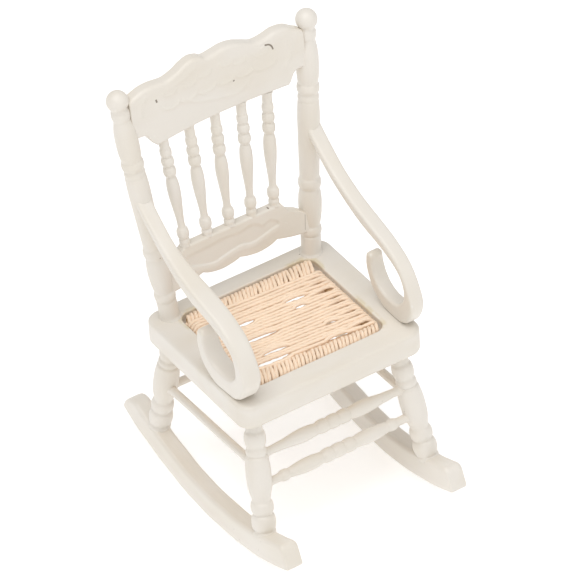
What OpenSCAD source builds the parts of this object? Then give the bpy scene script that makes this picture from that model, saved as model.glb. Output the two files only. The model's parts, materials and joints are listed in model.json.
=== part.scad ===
// Dolls-house rocking chair at about 1:12: turned legs, posts and spindles, two bent arms
// with scrolled ends, a wave-topped crest rail and a woven cord seat panel.
// Everything is laid out square to the seat, with the seat board's top at zero, and the whole
// chair is then leaned back and lifted onto its rockers. It faces -Y. "Left" is -X, which is
// on the left when the chair is seen from the front.

/* [Stance] */
// How far the resting chair leans back on its rockers, in degrees
lean = 5; // [0:0.5:7]

/* [Seat] */
// Width of the seat board
seat_w = 46; // [45:0.5:48]
// Front to back size of the seat board
seat_d = 39.9; // [39:0.1:41]
// Thickness of the seat board
seat_t = 5.8; // [5:0.1:6.5]
// Width of the opening that holds the woven panel
opening_w = 33.8; // [32:0.2:34]
// Front to back size of that opening
opening_d = 29.8; // [28:0.2:30]
// Height of the woven panel
panel_t = 2.4; // [2:0.1:3]

/* [Back] */
// How far the back leans behind square to the seat, in degrees
recline = 5.5; // [4:0.5:8]
// How far each back post leans outwards, in degrees
splay = 5.6; // [4:0.2:6.4]
// Distance of each back post from the middle at the seat
post_x = 18.05; // [17.5:0.05:18.5]
// Height of the finial's centre above the seat, along the post
finial_h = 57.2; // [56.4:0.2:60]
// Thickness of the lower rail
rail_t = 2.3; // [2:0.1:2.6]
// Thickness of the crest rail
crest_t = 3; // [2.6:0.1:3.2]

/* [Legs] */
// Distance of each leg from the middle at the seat's underside
leg_x = 18.25; // [17.6:0.05:18.8]
// Distance of the front legs' tops from the middle of the seat
front_leg_y = 15.95; // [15:0.05:16.5]
// Distance of the rear legs' tops from the middle of the seat
rear_leg_y = 15.3; // [14.5:0.05:16]

/* [Rockers] */
// Radius of a rocker's rolling edge
rocker_r = 74.1; // [72:0.1:76]
// Depth of a rocker from top to bottom
rocker_h = 5.9; // [5:0.1:6.5]
// Thickness of a rocker from side to side
rocker_w = 4.2; // [3.8:0.1:4.6]
// Distance of each rocker's middle from the middle of the chair
rocker_x = 21.1; // [20.9:0.1:21.5]

/* [Arms] */
// Width of an arm, seen from above
arm_w = 3.4; // [3:0.1:3.8]
// Distance of each arm's middle from the middle of the chair
arm_x = 21.4; // [21:0.1:21.6]

/* [Hidden] */

paint = "ivory";
cord_colour = "burlywood";
$fn = 48;

glue_gap = 0.05;         // clearance of every tenon in its socket
tenon_r = 1.5;           // legs and back posts
tenon_len = 2.6;
spindle_tenon_r = 0.75;  // spindles
spindle_tenon_len = 1.4;
dowel_r = 0.95;          // stretchers, where they enter the legs
socket_start = 1;        // a stretcher's socket starts this far from a leg's middle line
board_shift = -0.55;     // middle of the seat board from the middle of its opening
over = 3;                // how far a hole runs out past the face it is made in
socket_reach = 6;        // length of the hole for a stretcher's end
big = 100;               // side of the blocks that trim other solids
steps = 6;               // points along each stretch of a smooth outline
seam_turn = 37;          // turns a sloping round piece so that its seam is off its steepest line

// Centre of the rockers' arcs, behind the seat's front half and above it
arc_y = -3.7;
arc_z = 32.9;
rocker_front_a = -24.5;  // ends of a rocker, in degrees from straight down
rocker_rear_a = 27.8;
rocker_top_r = rocker_r - rocker_h;
// Rounding of a rocker's end corners: length along the rocker and depth
front_top_round = [1.6, 1.5];
front_low_round = [0.8, 0.8];
rear_top_round = [4.2, 4.2];
rear_low_round = [0.4, 0.4];

// The lowest point of the rolling edge is at zero, and the outline is centred front to back
lift = rocker_r - arc_z * cos(lean) + arc_y * sin(lean);
middle_y = 4.14;

// Leg lines: where each leg crosses the board's underside and the rocker's top
leg_top_z = -seat_t;
front_foot = [20.92, -22.25, -32.68];
rear_foot = [20.6, 19.6, -31.2];
front_top = [leg_x, -front_leg_y, leg_top_z];
rear_top = [leg_x, rear_leg_y, leg_top_z];

// Heights below the seat at which the stretchers cross the legs
front_upper_z = -15.5;
front_lower_z = -22.4;
side_front_z = -18.1;
side_rear_z = -19.6;
rear_z = -21;

// Back frame: x across, z up the back from the seat, y through it
back_y = 16;
rail_front = -1.52;      // front face of both rails, in front of the posts' middle
crest_base = 44;
lower_top = 16.1;
spindle_foot_x = [-12.4, -6.7, -1.1, 4.5, 10.2];  // the set stands a little to the left
spindle_head_x = [-14.1, -7.7, -1.2, 5.4, 11.9];
spindle_head_z = [43.5, 43.95, 44.45, 43.95, 43.5];
spindle_gap = 0.12;      // the turned part of a spindle stops this far short of each rail

// The woven panel and the four rails it is wound on
panel_gap = 0.3;
panel_w = opening_w - 2 * panel_gap;
panel_d = opening_d - 2 * panel_gap;
panel_top = 0.25;
cord_d = 0.95;           // the cord
rail_w = 2;              // seat rail: a flat strip with one layer of cord over it
rail_h = 0.8;
rail_inset = cord_d + rail_w / 2;   // seat rail's middle from the panel's edge
ledge = 1.3;             // ledge that the panel rests on
rail_mid_x = panel_w / 2 - rail_inset;
rail_mid_y = panel_d / 2 - rail_inset;
rail_top_z = panel_top - cord_d;

// Joint of an arm with its post
arm_joint_r = 2.5;

// ---------- outlines ----------

// Smooth curve through the points p
function curve(p) = concat(
    [for (i = [0 : len(p) - 2], j = [0 : steps - 1])
        let (a = p[max(i - 1, 0)], b = p[i], c = p[i + 1], d = p[min(i + 2, len(p) - 1)],
             t = j / steps)
        (2 * b + (c - a) * t + (2 * a - 5 * b + 4 * c - d) * t * t
            + (3 * b - a - 3 * c + d) * t * t * t) / 2],
    [p[len(p) - 1]]);

// Turned bead from height lo to hi, swelling from radius waist to belly
function bead(lo, hi, waist, belly) =
    [for (i = [0 : 8]) let (a = 180 * i / 8)
        [waist + (belly - waist) * sin(a), lo + (hi - lo) * (1 - cos(a)) / 2]];

// Turned ball round height mid, from angle a0 below its middle to its top
function ball(mid, r, a0) =
    [for (i = [0 : 10]) let (a = a0 + (90 - a0) * i / 10) [r * cos(a), mid + r * sin(a)]];

// The same outline, mirrored to the other side and put in running order
function mirrored(p) = [for (i = [len(p) - 1 : -1 : 0]) [-p[i][0], p[i][1]]];

// Point on the line from p to q at height z
function at_z(p, q, z) = p + (q - p) * (z - p[2]) / (q[2] - p[2]);

// The same point on the other side of the chair
function flip_x(p) = [-p[0], p[1], p[2]];

// The same turned outline, end for end
function reversed(p) = [for (i = [len(p) - 1 : -1 : 0]) [p[i][0], -p[i][1]]];

// ---------- helpers ----------

// Lays the children, drawn upwards from zero, along the line from p to q
module along(p, q) {
    d = q - p;
    translate(p)
        rotate([0, acos(d[2] / norm(d)), atan2(d[1], d[0])])
            rotate([0, 0, seam_turn])
                children();
}

module lathe(profile) {
    last = len(profile) - 1;
    rotate_extrude()
        polygon(concat([[0, profile[0][1]]], profile, [[0, profile[last][1]]]));
}

// Whole chair frame: lean back, then stand on the rockers
module placed() {
    translate([0, middle_y, lift])
        rotate([-lean, 0, 0])
            children();
}

// Frame of the reclined back
module in_back() {
    translate([0, back_y, 0])
        rotate([-recline, 0, 0])
            children();
}

// s = 1 for the right side, -1 for the left side
module side(s) {
    mirror([s < 0 ? 1 : 0, 0, 0])
        children();
}

module rounded_board(w, d, h, r) {
    linear_extrude(h)
        polygon([for (c = [[1, 1, 0], [-1, 1, 90], [-1, -1, 180], [1, -1, 270]], i = [0 : 6])
            let (a = c[2] + 15 * i)
            [c[0] * (w / 2 - r) + r * cos(a), c[1] * (d / 2 - r) + r * sin(a)]]);
}

// ---------- rockers ----------

function rocker_point(r, a) = [arc_y + r * sin(a), arc_z - r * cos(a)];

// Angle that a length along the rolling edge takes up
function turn(length) = length / rocker_r * 180 / PI;

// Edge at radius r from just inside one end's rounding to just inside the other's
function rocker_edge(r, start, end) =
    [for (i = [0 : 48]) rocker_point(r, start + (end - start) * i / 48)];

// Rounded corner at angle a; size is its length, negative at the rear, and its depth, negative
// on the rolling edge. It runs from the long edge to the end face.
function end_corner(r, a, size) =
    [for (i = [1 : 5]) let (b = 18 * i)
        rocker_point(r + size[1] * (1 - cos(b)), a + turn(size[0]) * (1 - sin(b)))];

function backwards(p) = [for (i = [len(p) - 1 : -1 : 0]) p[i]];

rocker_outline = concat(
    rocker_edge(rocker_r, rocker_front_a + turn(front_low_round[0]),
                rocker_rear_a - turn(rear_low_round[0])),
    end_corner(rocker_r, rocker_rear_a, -rear_low_round),
    backwards(end_corner(rocker_top_r, rocker_rear_a, [-rear_top_round[0], rear_top_round[1]])),
    rocker_edge(rocker_top_r, rocker_rear_a - turn(rear_top_round[0]),
                rocker_front_a + turn(front_top_round[0])),
    end_corner(rocker_top_r, rocker_front_a, front_top_round),
    backwards(end_corner(rocker_r, rocker_front_a, [front_low_round[0], -front_low_round[1]])));

module rocker() {
    color(paint)
        difference() {
            translate([rocker_x - rocker_w / 2, 0, 0])
                rotate([90, 0, 90])
                    linear_extrude(rocker_w)
                        polygon(rocker_outline);
            leg_socket(front_foot, front_top);
            leg_socket(rear_foot, rear_top);
        }
}

// Blind hole for a leg's foot tenon, reaching down into the rocker
module leg_socket(foot, top) {
    along(foot, top)
        translate([0, 0, -tenon_len - glue_gap])
            cylinder(r = tenon_r + glue_gap, h = tenon_len + over);
}

// ---------- legs ----------

// Turned outline of a leg, measured up from the rocker
leg_profile = concat(
    [[2, -2.5], [2, 0.3]],
    bead(0.5, 4.1, 2.05, 2.65),
    bead(4.5, 7.2, 2.05, 2.5),
    curve([[2, 7.6], [2.15, 8.3], [2.6, 10.3], [2.75, 13], [2.7, 15.6], [2.45, 17.8]]),
    bead(18.2, 19.8, 2, 2.3),
    bead(20.4, 23.8, 1.95, 2.4),
    [[1.85, 24.1], [1.85, 31]]);

// foot and top are the ends of the leg's line; holes are the lines of the stretchers it takes
module leg(foot, top, holes) {
    tall = norm(top - foot);
    color(paint)
        difference() {
            union() {
                intersection() {
                    along(foot, top) lathe(leg_profile);
                    translate([0, arc_y, arc_z])
                        rotate([0, 90, 0])
                            cylinder(r = rocker_top_r, h = big);
                    translate([0, -big / 2, leg_top_z - big]) cube(big);
                }
                along(foot, top)
                    translate([0, 0, -tenon_len])
                        cylinder(r = tenon_r, h = tall + 2 * tenon_len);
            }
            for (h = holes)
                stretcher_socket(h[0], h[1]);
        }
}

// Blind hole for a stretcher that runs along the line from p, in this leg, to q
module stretcher_socket(p, q) {
    along(p, q)
        translate([0, 0, socket_start])
            cylinder(r = dowel_r + glue_gap, h = socket_reach);
}

function front_at(z) = at_z(front_foot, front_top, z);
function rear_at(z) = at_z(rear_foot, rear_top, z);

module front_leg() {
    up = front_at(front_upper_z);
    low = front_at(front_lower_z);
    leg(front_foot, front_top, [
        [up, flip_x(up)],
        [low, flip_x(low)],
        [front_at(side_front_z), rear_at(side_rear_z)]]);
}

module rear_leg() {
    back = rear_at(rear_z);
    leg(rear_foot, rear_top, [
        [back, flip_x(back)],
        [rear_at(side_rear_z), front_at(side_front_z)]]);
}

// ---------- stretchers ----------

dowel_inset = socket_start + 2 * glue_gap;   // from a leg's middle line to a stretcher's end
middle_bead = 1.35;                          // half the length of the bead in the middle

// Half outline of a turned front stretcher, from its middle bead out to its end
function stretcher_half(far, end_bead) = concat(
    bead(1.4, 4, 1.3, 1.62),
    curve([[1.3, 4.2], [1.5, 5.6], [1.62, 7.4], [1.5, 9.6], [1.12, 12.4]]),
    end_bead ? bead(12.7, 14.7, 1.05, 1.35) : [[1.05, 14]],
    [[dowel_r, 15.2], [dowel_r, far]]);

module front_stretcher(z, end_bead) {
    p = front_at(z);
    half = stretcher_half(p[0] - dowel_inset, end_bead);
    color(paint)
        translate([0, p[1], p[2]])
            rotate([0, 90, 0])
                lathe(concat(reversed(half), bead(-middle_bead, middle_bead, 1.3, 1.62), half));
}

// Plain dowel stretcher between the middle lines of two legs, from p to q
module plain_stretcher(p, q) {
    color(paint)
        along(p, q)
            translate([0, 0, dowel_inset])
                cylinder(r = dowel_r, h = norm(q - p) - 2 * dowel_inset);
}

// ---------- seat ----------

module seat_frame() {
    color(paint)
        difference() {
            translate([0, board_shift, -seat_t])
                rounded_board(seat_w, seat_d, seat_t, 3.4);
            translate([0, 0, -panel_t])
                rounded_board(opening_w, opening_d, seat_t, 2.6);
            translate([0, 0, -seat_t - 1])
                rounded_board(opening_w - 2 * ledge, opening_d - 2 * ledge, seat_t + 2, 1.6);
            for (s = [-1, 1])
                side(s) {
                    board_socket(front_foot, front_top);
                    board_socket(rear_foot, rear_top);
                    in_back() post_line() translate([0, 0, -tenon_len - glue_gap])
                        cylinder(r = tenon_r + glue_gap, h = tenon_len + over);
                }
        }
}

// Blind hole for a leg's top tenon, reaching up into the seat board
module board_socket(foot, top) {
    along(foot, top)
        translate([0, 0, norm(top - foot) - over])
            cylinder(r = tenon_r + glue_gap, h = over + tenon_len + glue_gap);
}

// Strip h deep across the front or rear of the panel, between the two side rails
module cross_rail(y, h) {
    color("tan")
        translate([rail_w / 2 - rail_mid_x, y - rail_w / 2, rail_top_z - h])
            cube([2 * rail_mid_x - rail_w, rail_w, h]);
}

// Strip h deep along the left or right of the panel
module side_rail(x, h) {
    color("tan")
        translate([x - rail_w / 2, -rail_mid_y - rail_w / 2, rail_top_z - h])
            cube([rail_w, 2 * rail_mid_y + rail_w, h]);
}

// Body of the woven cord, with the channel below that its four rails are pressed up into
module seat_weave() {
    color(cord_colour)
        difference() {
            translate([0, 0, -panel_t])
                rounded_board(panel_w, panel_d, panel_t + panel_top, 2.3);
            for (s = [-1, 1]) {
                cross_rail(s * rail_mid_y, panel_t);
                side_rail(s * rail_mid_x, panel_t);
            }
        }
}

// ---------- back ----------

// Line of the right-hand post inside the back's frame
module post_line() {
    translate([post_x, 0, 0])
        rotate([0, splay, 0])
            children();
}

// Turned outline of a back post, measured up from the seat
post_profile = concat(
    [[2.2, -2], [2.2, 4.2]],
    bead(4.6, 6.8, 2, 2.38),
    curve([[2.05, 7], [2.4, 9.3], [2.55, 12.3], [2.4, 14.8], [2.12, 16]]),
    bead(16.3, 18.7, 2.15, 2.5),
    curve([[2.15, 18.9], [2.2, 21], [2.35, 28], [2.45, 34], [2.32, 37.6]]),
    bead(37.8, 39.2, 2.15, 2.32),
    bead(39.7, 41.9, 2.1, 2.48),
    curve([[2.2, 42.1], [2.45, 44.5], [2.45, 48], [2.25, 50.2], [1.85, 52.2]]),
    bead(52.6, 55, 1.8, 2.05),
    ball(finial_h, 2.42, -42));

module back_post() {
    color(paint)
        in_back()
            difference() {
                union() {
                    intersection() {
                        post_line() lathe(post_profile);
                        rotate([recline, 0, 0])
                            translate([0, -big / 2, 0]) cube(big);
                    }
                    post_line() translate([0, 0, -tenon_len])
                        cylinder(r = tenon_r, h = tenon_len + over);
                }
                rail_plate(crest_outline, crest_t, glue_gap);
                rail_plate(lower_outline, rail_t, glue_gap);
            }
}

// Stepped shoulder at the right end of the crest rail's lower edge
crest_shoulder = concat(
    [[17.3, crest_base + 0.4], [17.7, crest_base + 1.2], [18.1, crest_base + 2]],
    curve([[18.6, crest_base + 2.5], [19.4, crest_base + 2.8], [21.6, crest_base + 2.9]]));

// Wavy top of the crest rail from right to left. It was shaped by hand and isn't symmetric.
crest_top = curve([
    [22.3, 55.2], [20.2, 56.4], [18, 57.7], [15.2, 58.05], [12.4, 57.45], [10, 57.35],
    [7.8, 58.2], [5.2, 59.2], [2.6, 59.5], [0.4, 59.2], [-2.1, 58.9], [-3.6, 59.6],
    [-5.5, 59.95], [-7.6, 59.3], [-9.7, 58.2], [-12.1, 57.5], [-14, 57.6], [-16, 57.75],
    [-18.2, 57.5], [-20.2, 56.8], [-22.3, 55.8]]);

crest_outline = concat(
    curve([[-16.2, crest_base - 0.7], [-8, crest_base + 0.2], [0, crest_base + 0.5],
           [8, crest_base + 0.4], [16.8, crest_base - 0.1]]),
    crest_shoulder,
    crest_top,
    mirrored(crest_shoulder));

// Right half of the lower rail's lower edge, from the middle
lower_edge = concat(
    curve([[0, 7.4], [1.6, 6.9], [4.6, 6.5], [7.6, 6.9], [9.5, 7.7]]),
    curve([[9.6, 7.65], [11, 7.2], [14.5, 6.4], [18.1, 6]]));

lower_outline = concat(
    lower_edge,
    curve([[18.5, 10.1], [17.1, 11.1], [15.3, 12.5], [13, 13.7], [12.2, 14.8], [11.4, 16]]),
    [[10.7, lower_top], [-12.4, lower_top]],
    curve([[-13.2, 16], [-14.6, 14.6], [-15.5, 12.8], [-17.3, 11.4], [-18.5, 10.4]]),
    mirrored(lower_edge));

// Plate of one back rail, t thick; gap widens it for the slots in the posts
module rail_plate(outline, t, gap) {
    translate([0, rail_front + t + gap, 0])
        rotate([90, 0, 0])
            linear_extrude(t + 2 * gap)
                polygon(outline);
}

// Holes for the tenons at both ends of the five spindles
module spindle_holes() {
    reach = spindle_tenon_len + glue_gap;
    for (i = [0 : 4])
        spindle_line(i)
            translate([0, 0, -reach])
                cylinder(r = spindle_tenon_r + glue_gap, h = spindle_len(i) + 2 * reach);
}

module back_rail(outline, t) {
    color(paint)
        in_back()
            difference() {
                rail_plate(outline, t, 0);
                spindle_holes();
            }
}

// ---------- spindles ----------

function spindle_foot(i) = [spindle_foot_x[i], rail_front + rail_t / 2, lower_top];
function spindle_head(i) = [spindle_head_x[i], rail_front + crest_t / 2, spindle_head_z[i]];
function spindle_len(i) = norm(spindle_head(i) - spindle_foot(i));

module spindle_line(i) {
    along(spindle_foot(i), spindle_head(i))
        children();
}

// Turned outline of a spindle of length l, measured up from the lower rail
function spindle_profile(l) = concat(
    [[1, spindle_gap]],
    bead(0.2, 1.4, 1, 1.2),
    bead(1.7, 4.2, 0.95, 1.35),
    curve([[0.85, 4.5], [0.82, 6], [1.02, 8.5], [1.3, 11.5], [1.43, 14.2], [1.3, 16.4], [1, 17.6]]),
    bead(17.9, 20.2, 1.05, 1.43),
    bead(20.5, 22.6, 1.05, 1.4),
    bead(22.9, 25, 1, 1.3),
    [[1.1, 25.3], [1.1, l - spindle_gap]]);

module spindle(i) {
    l = spindle_len(i);
    color(paint)
        in_back()
            spindle_line(i) {
                lathe(spindle_profile(l));
                translate([0, 0, -spindle_tenon_len])
                    cylinder(r = spindle_tenon_r, h = l + 2 * spindle_tenon_len);
            }
}

// ---------- arms ----------

// Side outline of an arm, y backwards and z up from the seat: its top edge from the post to
// the foot, then the scroll behind the foot and the lower edge back to the post
arm_upper = curve([
    [18.4, 33.3], [16.8, 31.6], [12.5, 28.1], [7.8, 24.9], [1.5, 22.1], [-5.2, 20.1],
    [-10, 18.6], [-12.8, 17.3], [-15.3, 15.8], [-17.4, 13.7], [-19.2, 10.7], [-20.4, 7.4],
    [-20, 4.6], [-18.4, 1.8], [-16.2, 0.1]]);
arm_hook = curve([
    [-11, 0.03], [-9.6, 0.35], [-7.7, 1.5], [-5.8, 3.4], [-4.5, 6], [-3.8, 8.8],
    [-3.9, 11.6], [-4.9, 12.7], [-6, 11.6], [-6, 9.2], [-6.6, 7.2], [-7.7, 5.5],
    [-9.2, 4.4], [-11, 3.9], [-13.2, 4], [-15.2, 4.9], [-16.8, 6.8], [-17.3, 9],
    [-16.9, 11], [-15.6, 13], [-13.4, 14.5], [-11, 15.5], [-7.7, 16.6], [-2.2, 18],
    [3.3, 20.1], [8.9, 22.9], [12.5, 25.5], [16.4, 29], [18.4, 30.9]]);

arm_outline = concat(arm_upper, [[-15.6, 0], [-11.6, 0]], arm_hook);

module arm() {
    color(paint)
        difference() {
            translate([arm_x - arm_w / 2, 0, 0])
                rotate([90, 0, 90])
                    linear_extrude(arm_w)
                        polygon(arm_outline);
            in_back() post_line() {
                cylinder(r = arm_joint_r, h = big);
                translate([-big / 2, 0, 20])
                    cube(big);
            }
        }
}

// ---------- the parts ----------

placed() side(-1) rocker();  // rocker_left
placed() side(1) rocker();  // rocker_right
placed() side(-1) front_leg();  // front_leg_left
placed() side(1) front_leg();  // front_leg_right
placed() side(-1) rear_leg();  // rear_leg_left
placed() side(1) rear_leg();  // rear_leg_right
placed() front_stretcher(front_upper_z, false);  // front_stretcher_upper
placed() front_stretcher(front_lower_z, true);  // front_stretcher_lower
placed() side(-1) plain_stretcher(front_at(side_front_z), rear_at(side_rear_z));  // side_stretcher_left
placed() side(1) plain_stretcher(front_at(side_front_z), rear_at(side_rear_z));  // side_stretcher_right
placed() plain_stretcher(flip_x(rear_at(rear_z)), rear_at(rear_z));  // rear_stretcher
placed() seat_frame();
placed() cross_rail(-rail_mid_y, rail_h);  // seat_rail_front
placed() cross_rail(rail_mid_y, rail_h);  // seat_rail_rear
placed() side_rail(-rail_mid_x, rail_h);  // seat_rail_left
placed() side_rail(rail_mid_x, rail_h);  // seat_rail_right
placed() seat_weave();
placed() side(-1) back_post();  // back_post_left
placed() side(1) back_post();  // back_post_right
placed() back_rail(crest_outline, crest_t);  // crest_rail
placed() back_rail(lower_outline, rail_t);  // lower_rail
placed() spindle(0);  // spindle_1
placed() spindle(1);  // spindle_2
placed() spindle(2);  // spindle_3
placed() spindle(3);  // spindle_4
placed() spindle(4);  // spindle_5
placed() side(-1) arm();  // arm_left
placed() side(1) arm();  // arm_right
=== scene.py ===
"""Dolls-house rocking chair: ivory-painted turned wood, scrolled arms and a woven cord seat.

Sizes are in millimetres, square to the seat, with the seat board's top at zero and the chair
facing -Y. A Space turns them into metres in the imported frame, where the chair leans back on
its rockers.
"""
import sys
import json
import logging
import math
from dataclasses import dataclass, field
from enum import Enum
from typing import Callable, Sequence

import bpy
import numpy as np
from mathutils import Matrix, Vector


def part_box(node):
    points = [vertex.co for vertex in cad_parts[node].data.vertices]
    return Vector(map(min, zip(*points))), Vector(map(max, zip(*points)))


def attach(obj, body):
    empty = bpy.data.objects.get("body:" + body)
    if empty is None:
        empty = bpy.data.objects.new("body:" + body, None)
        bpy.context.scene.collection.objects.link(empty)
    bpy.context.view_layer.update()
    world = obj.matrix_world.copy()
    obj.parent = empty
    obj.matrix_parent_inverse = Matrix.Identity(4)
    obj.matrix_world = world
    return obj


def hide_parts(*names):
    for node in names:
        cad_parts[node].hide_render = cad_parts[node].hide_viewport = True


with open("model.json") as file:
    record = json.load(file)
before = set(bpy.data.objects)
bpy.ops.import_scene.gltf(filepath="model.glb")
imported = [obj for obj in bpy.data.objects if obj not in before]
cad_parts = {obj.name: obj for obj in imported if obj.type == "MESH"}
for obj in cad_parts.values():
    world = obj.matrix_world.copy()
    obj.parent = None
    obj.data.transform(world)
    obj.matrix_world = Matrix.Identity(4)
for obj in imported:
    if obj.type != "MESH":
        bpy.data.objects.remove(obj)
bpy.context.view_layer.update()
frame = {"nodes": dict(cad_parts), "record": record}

log = logging.getLogger("rocking_chair")

MM = 0.001
BODY = "root"
PANEL_RISE = 0.25  # the woven panel's top above the seat board's
NICK_AND_SEAM_SHADOW_REACH = 0.24  # how far the dark of nicked spots and of painted seam shadows spreads
GLUE_REACH = 0.9  # how far a smear of glue spreads
LEFT_GRAIN = (7.3, 2.1, 31.0)  # shift of the grain on left-hand pieces
FAR_AWAY = 9.0  # stands for any distance at which nothing shows

Points = np.ndarray
Gap = Callable[[Points], np.ndarray]


# ---------- outlines ----------


def curve(keys: Sequence[Sequence[float]], steps: int = 10) -> Points:
    """Smooth curve through a few points.

    Args:
        keys: The points that the curve passes through.
        steps: Points made for each stretch between two of them.

    Returns:
        The curve's points, one a row.
    """
    p = np.array(keys, float)
    before = np.vstack([p[:1], p])[:len(p) - 1]
    after = np.vstack([p, p[-1:]])[2:]
    t = np.linspace(0, 1, steps, endpoint=False)[None, :, None]
    b, c = p[:-1, None], p[1:, None]
    a, d = before[:, None], after[:, None]
    out = (2 * b + (c - a) * t + (2 * a - 5 * b + 4 * c - d) * t ** 2
           + (3 * b - a - 3 * c + d) * t ** 3) / 2
    return np.vstack([out.reshape(-1, p.shape[1]), p[-1:]])


def bead(low: float, high: float, waist: float, belly: float) -> Points:
    """Turned bead as (radius, height) points, from a waist out to its belly and back."""
    a = np.linspace(0, math.pi, 17)
    return np.column_stack([waist + (belly - waist) * np.sin(a),
                            low + (high - low) * (1 - np.cos(a)) / 2])


def ball(middle: float, radius: float, start: float) -> Points:
    """Turned ball from an angle below its middle, in degrees, to its top."""
    a = np.radians(np.linspace(start, 90, 24))
    return np.column_stack([radius * np.cos(a), middle + radius * np.sin(a)])


def chain(*parts: object) -> Points:
    """Joins outlines, each an array or a list of points, into one."""
    return np.vstack([np.atleast_2d(np.array(p, float)) for p in parts])


def even(line: Points, step: float, measured: int = 3) -> Points:
    """The same line with points at an even spacing of about step.

    Args:
        line: The line's points. Columns past the measured ones only ride along.
        step: The spacing wanted.
        measured: How many columns, from the first, are positions.

    Returns:
        The line's new points.
    """
    gaps = np.linalg.norm(np.diff(line[:, :measured], axis=0), axis=1)
    far = np.concatenate([[0], np.cumsum(gaps)])
    at = np.linspace(0, far[-1], max(2, int(round(far[-1] / step)) + 1))
    return np.column_stack([np.interp(at, far, line[:, k]) for k in range(line.shape[1])])


def soften(line: Points, step: float, spread: float) -> Points:
    """Rounds a line's corners off as coats of paint do.

    Args:
        line: The sharp line.
        step: Spacing of the result's points.
        spread: How far along the line a corner is spread.

    Returns:
        The softened line, with its two ends where they were.
    """
    p = even(line, step)
    reach = max(1, int(round(3 * spread / step)))
    weight = np.exp(-0.5 * (np.arange(-reach, reach + 1) * step / spread) ** 2)
    padded = np.pad(p, ((reach, reach), (0, 0)), mode="edge")
    out = np.column_stack([np.convolve(padded[:, k], weight / weight.sum(), "valid")
                           for k in range(p.shape[1])])
    out[0], out[-1] = p[0], p[-1]
    return out


def smooth(x: np.ndarray, low: float, high: float) -> np.ndarray:
    """Smooth step from 0 at low to 1 at high."""
    t = np.clip((x - low) / (high - low), 0, 1)
    return t * t * (3 - 2 * t)


def rounded(half_a: float, half_b: float, ra: float, rb: float, count: int) -> Points:
    """Closed outline of a rectangle with rounded corners.

    Args:
        half_a: Half its size along the first axis.
        half_b: Half its size along the second.
        ra: Radius of the corners along the first axis.
        rb: Radius of the corners along the second.
        count: Points in each corner.

    Returns:
        The corners' points, from the one where both axes are positive.
    """
    t = np.radians(np.linspace(0, 90, count))
    return np.vstack([
        np.column_stack([sa * (half_a - ra) + ra * np.cos(t + turn),
                         sb * (half_b - rb) + rb * np.sin(t + turn)])
        for sa, sb, turn in ((1, 1, 0), (-1, 1, math.pi / 2), (-1, -1, math.pi),
                             (1, -1, 1.5 * math.pi))])


def board_loop(width: float, depth: float, radius: float, middle_y: float = 0.0) -> Points:
    """Outline of a rounded board, with points along its straight sides as well."""
    n = 13
    corners = rounded(width / 2, depth / 2, radius, radius, n) + [0, middle_y]
    closed = np.vstack([corners, corners[:1]])
    t = np.linspace(0, 1, n + 1)[1:-1, None]
    return np.vstack([
        np.vstack([closed[k:k + n], closed[k + n - 1] + (closed[k + n] - closed[k + n - 1]) * t])
        for k in range(0, 4 * n, n)])


# ---------- sides and spaces ----------


class Side(Enum):
    """A side of the chair, with the sign of its x."""

    RIGHT = 1
    LEFT = -1

    @property
    def word(self) -> str:
        """The side as it is written in the names of pieces."""
        return self.name.lower()

    def place(self, point: Sequence[float]) -> Points:
        """A right-hand point on this side."""
        return np.array(point) * [self.value, 1, 1]


@dataclass(frozen=True)
class Space:
    """A set of axes in millimetres that pieces are drawn in."""

    matrix: Matrix

    @staticmethod
    def on_seat(rise: float) -> "Space":
        """The space square to the seat, read from the record's seat mount.

        Args:
            rise: Height of the mount's face above the seat board's top.

        Returns:
            The seat's space.
        """
        mount = next(m for m in frame["record"]["mounts"] if m["name"] == "seat_top")
        up = Vector(mount["axis"]).normalized()
        origin = Vector(mount["pos_m"]) - up * rise * MM
        lean = Matrix.Rotation(-math.atan2(up.y, up.z), 4, "X")
        return Space(Matrix.Translation(origin) @ lean @ Matrix.Scale(MM, 4))

    def leaning(self, y: float, angle: float) -> "Space":
        """A space that starts at y in this one and leans back by an angle in degrees."""
        turn = Matrix.Rotation(math.radians(-angle), 4, "X")
        return Space(self.matrix @ Matrix.Translation((0, y, 0)) @ turn)

    def metres(self, points: Points) -> Points:
        """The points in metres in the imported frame."""
        m = np.array(self.matrix)
        return points @ m[:3, :3].T + m[:3, 3]


# ---------- meshes ----------


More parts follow.
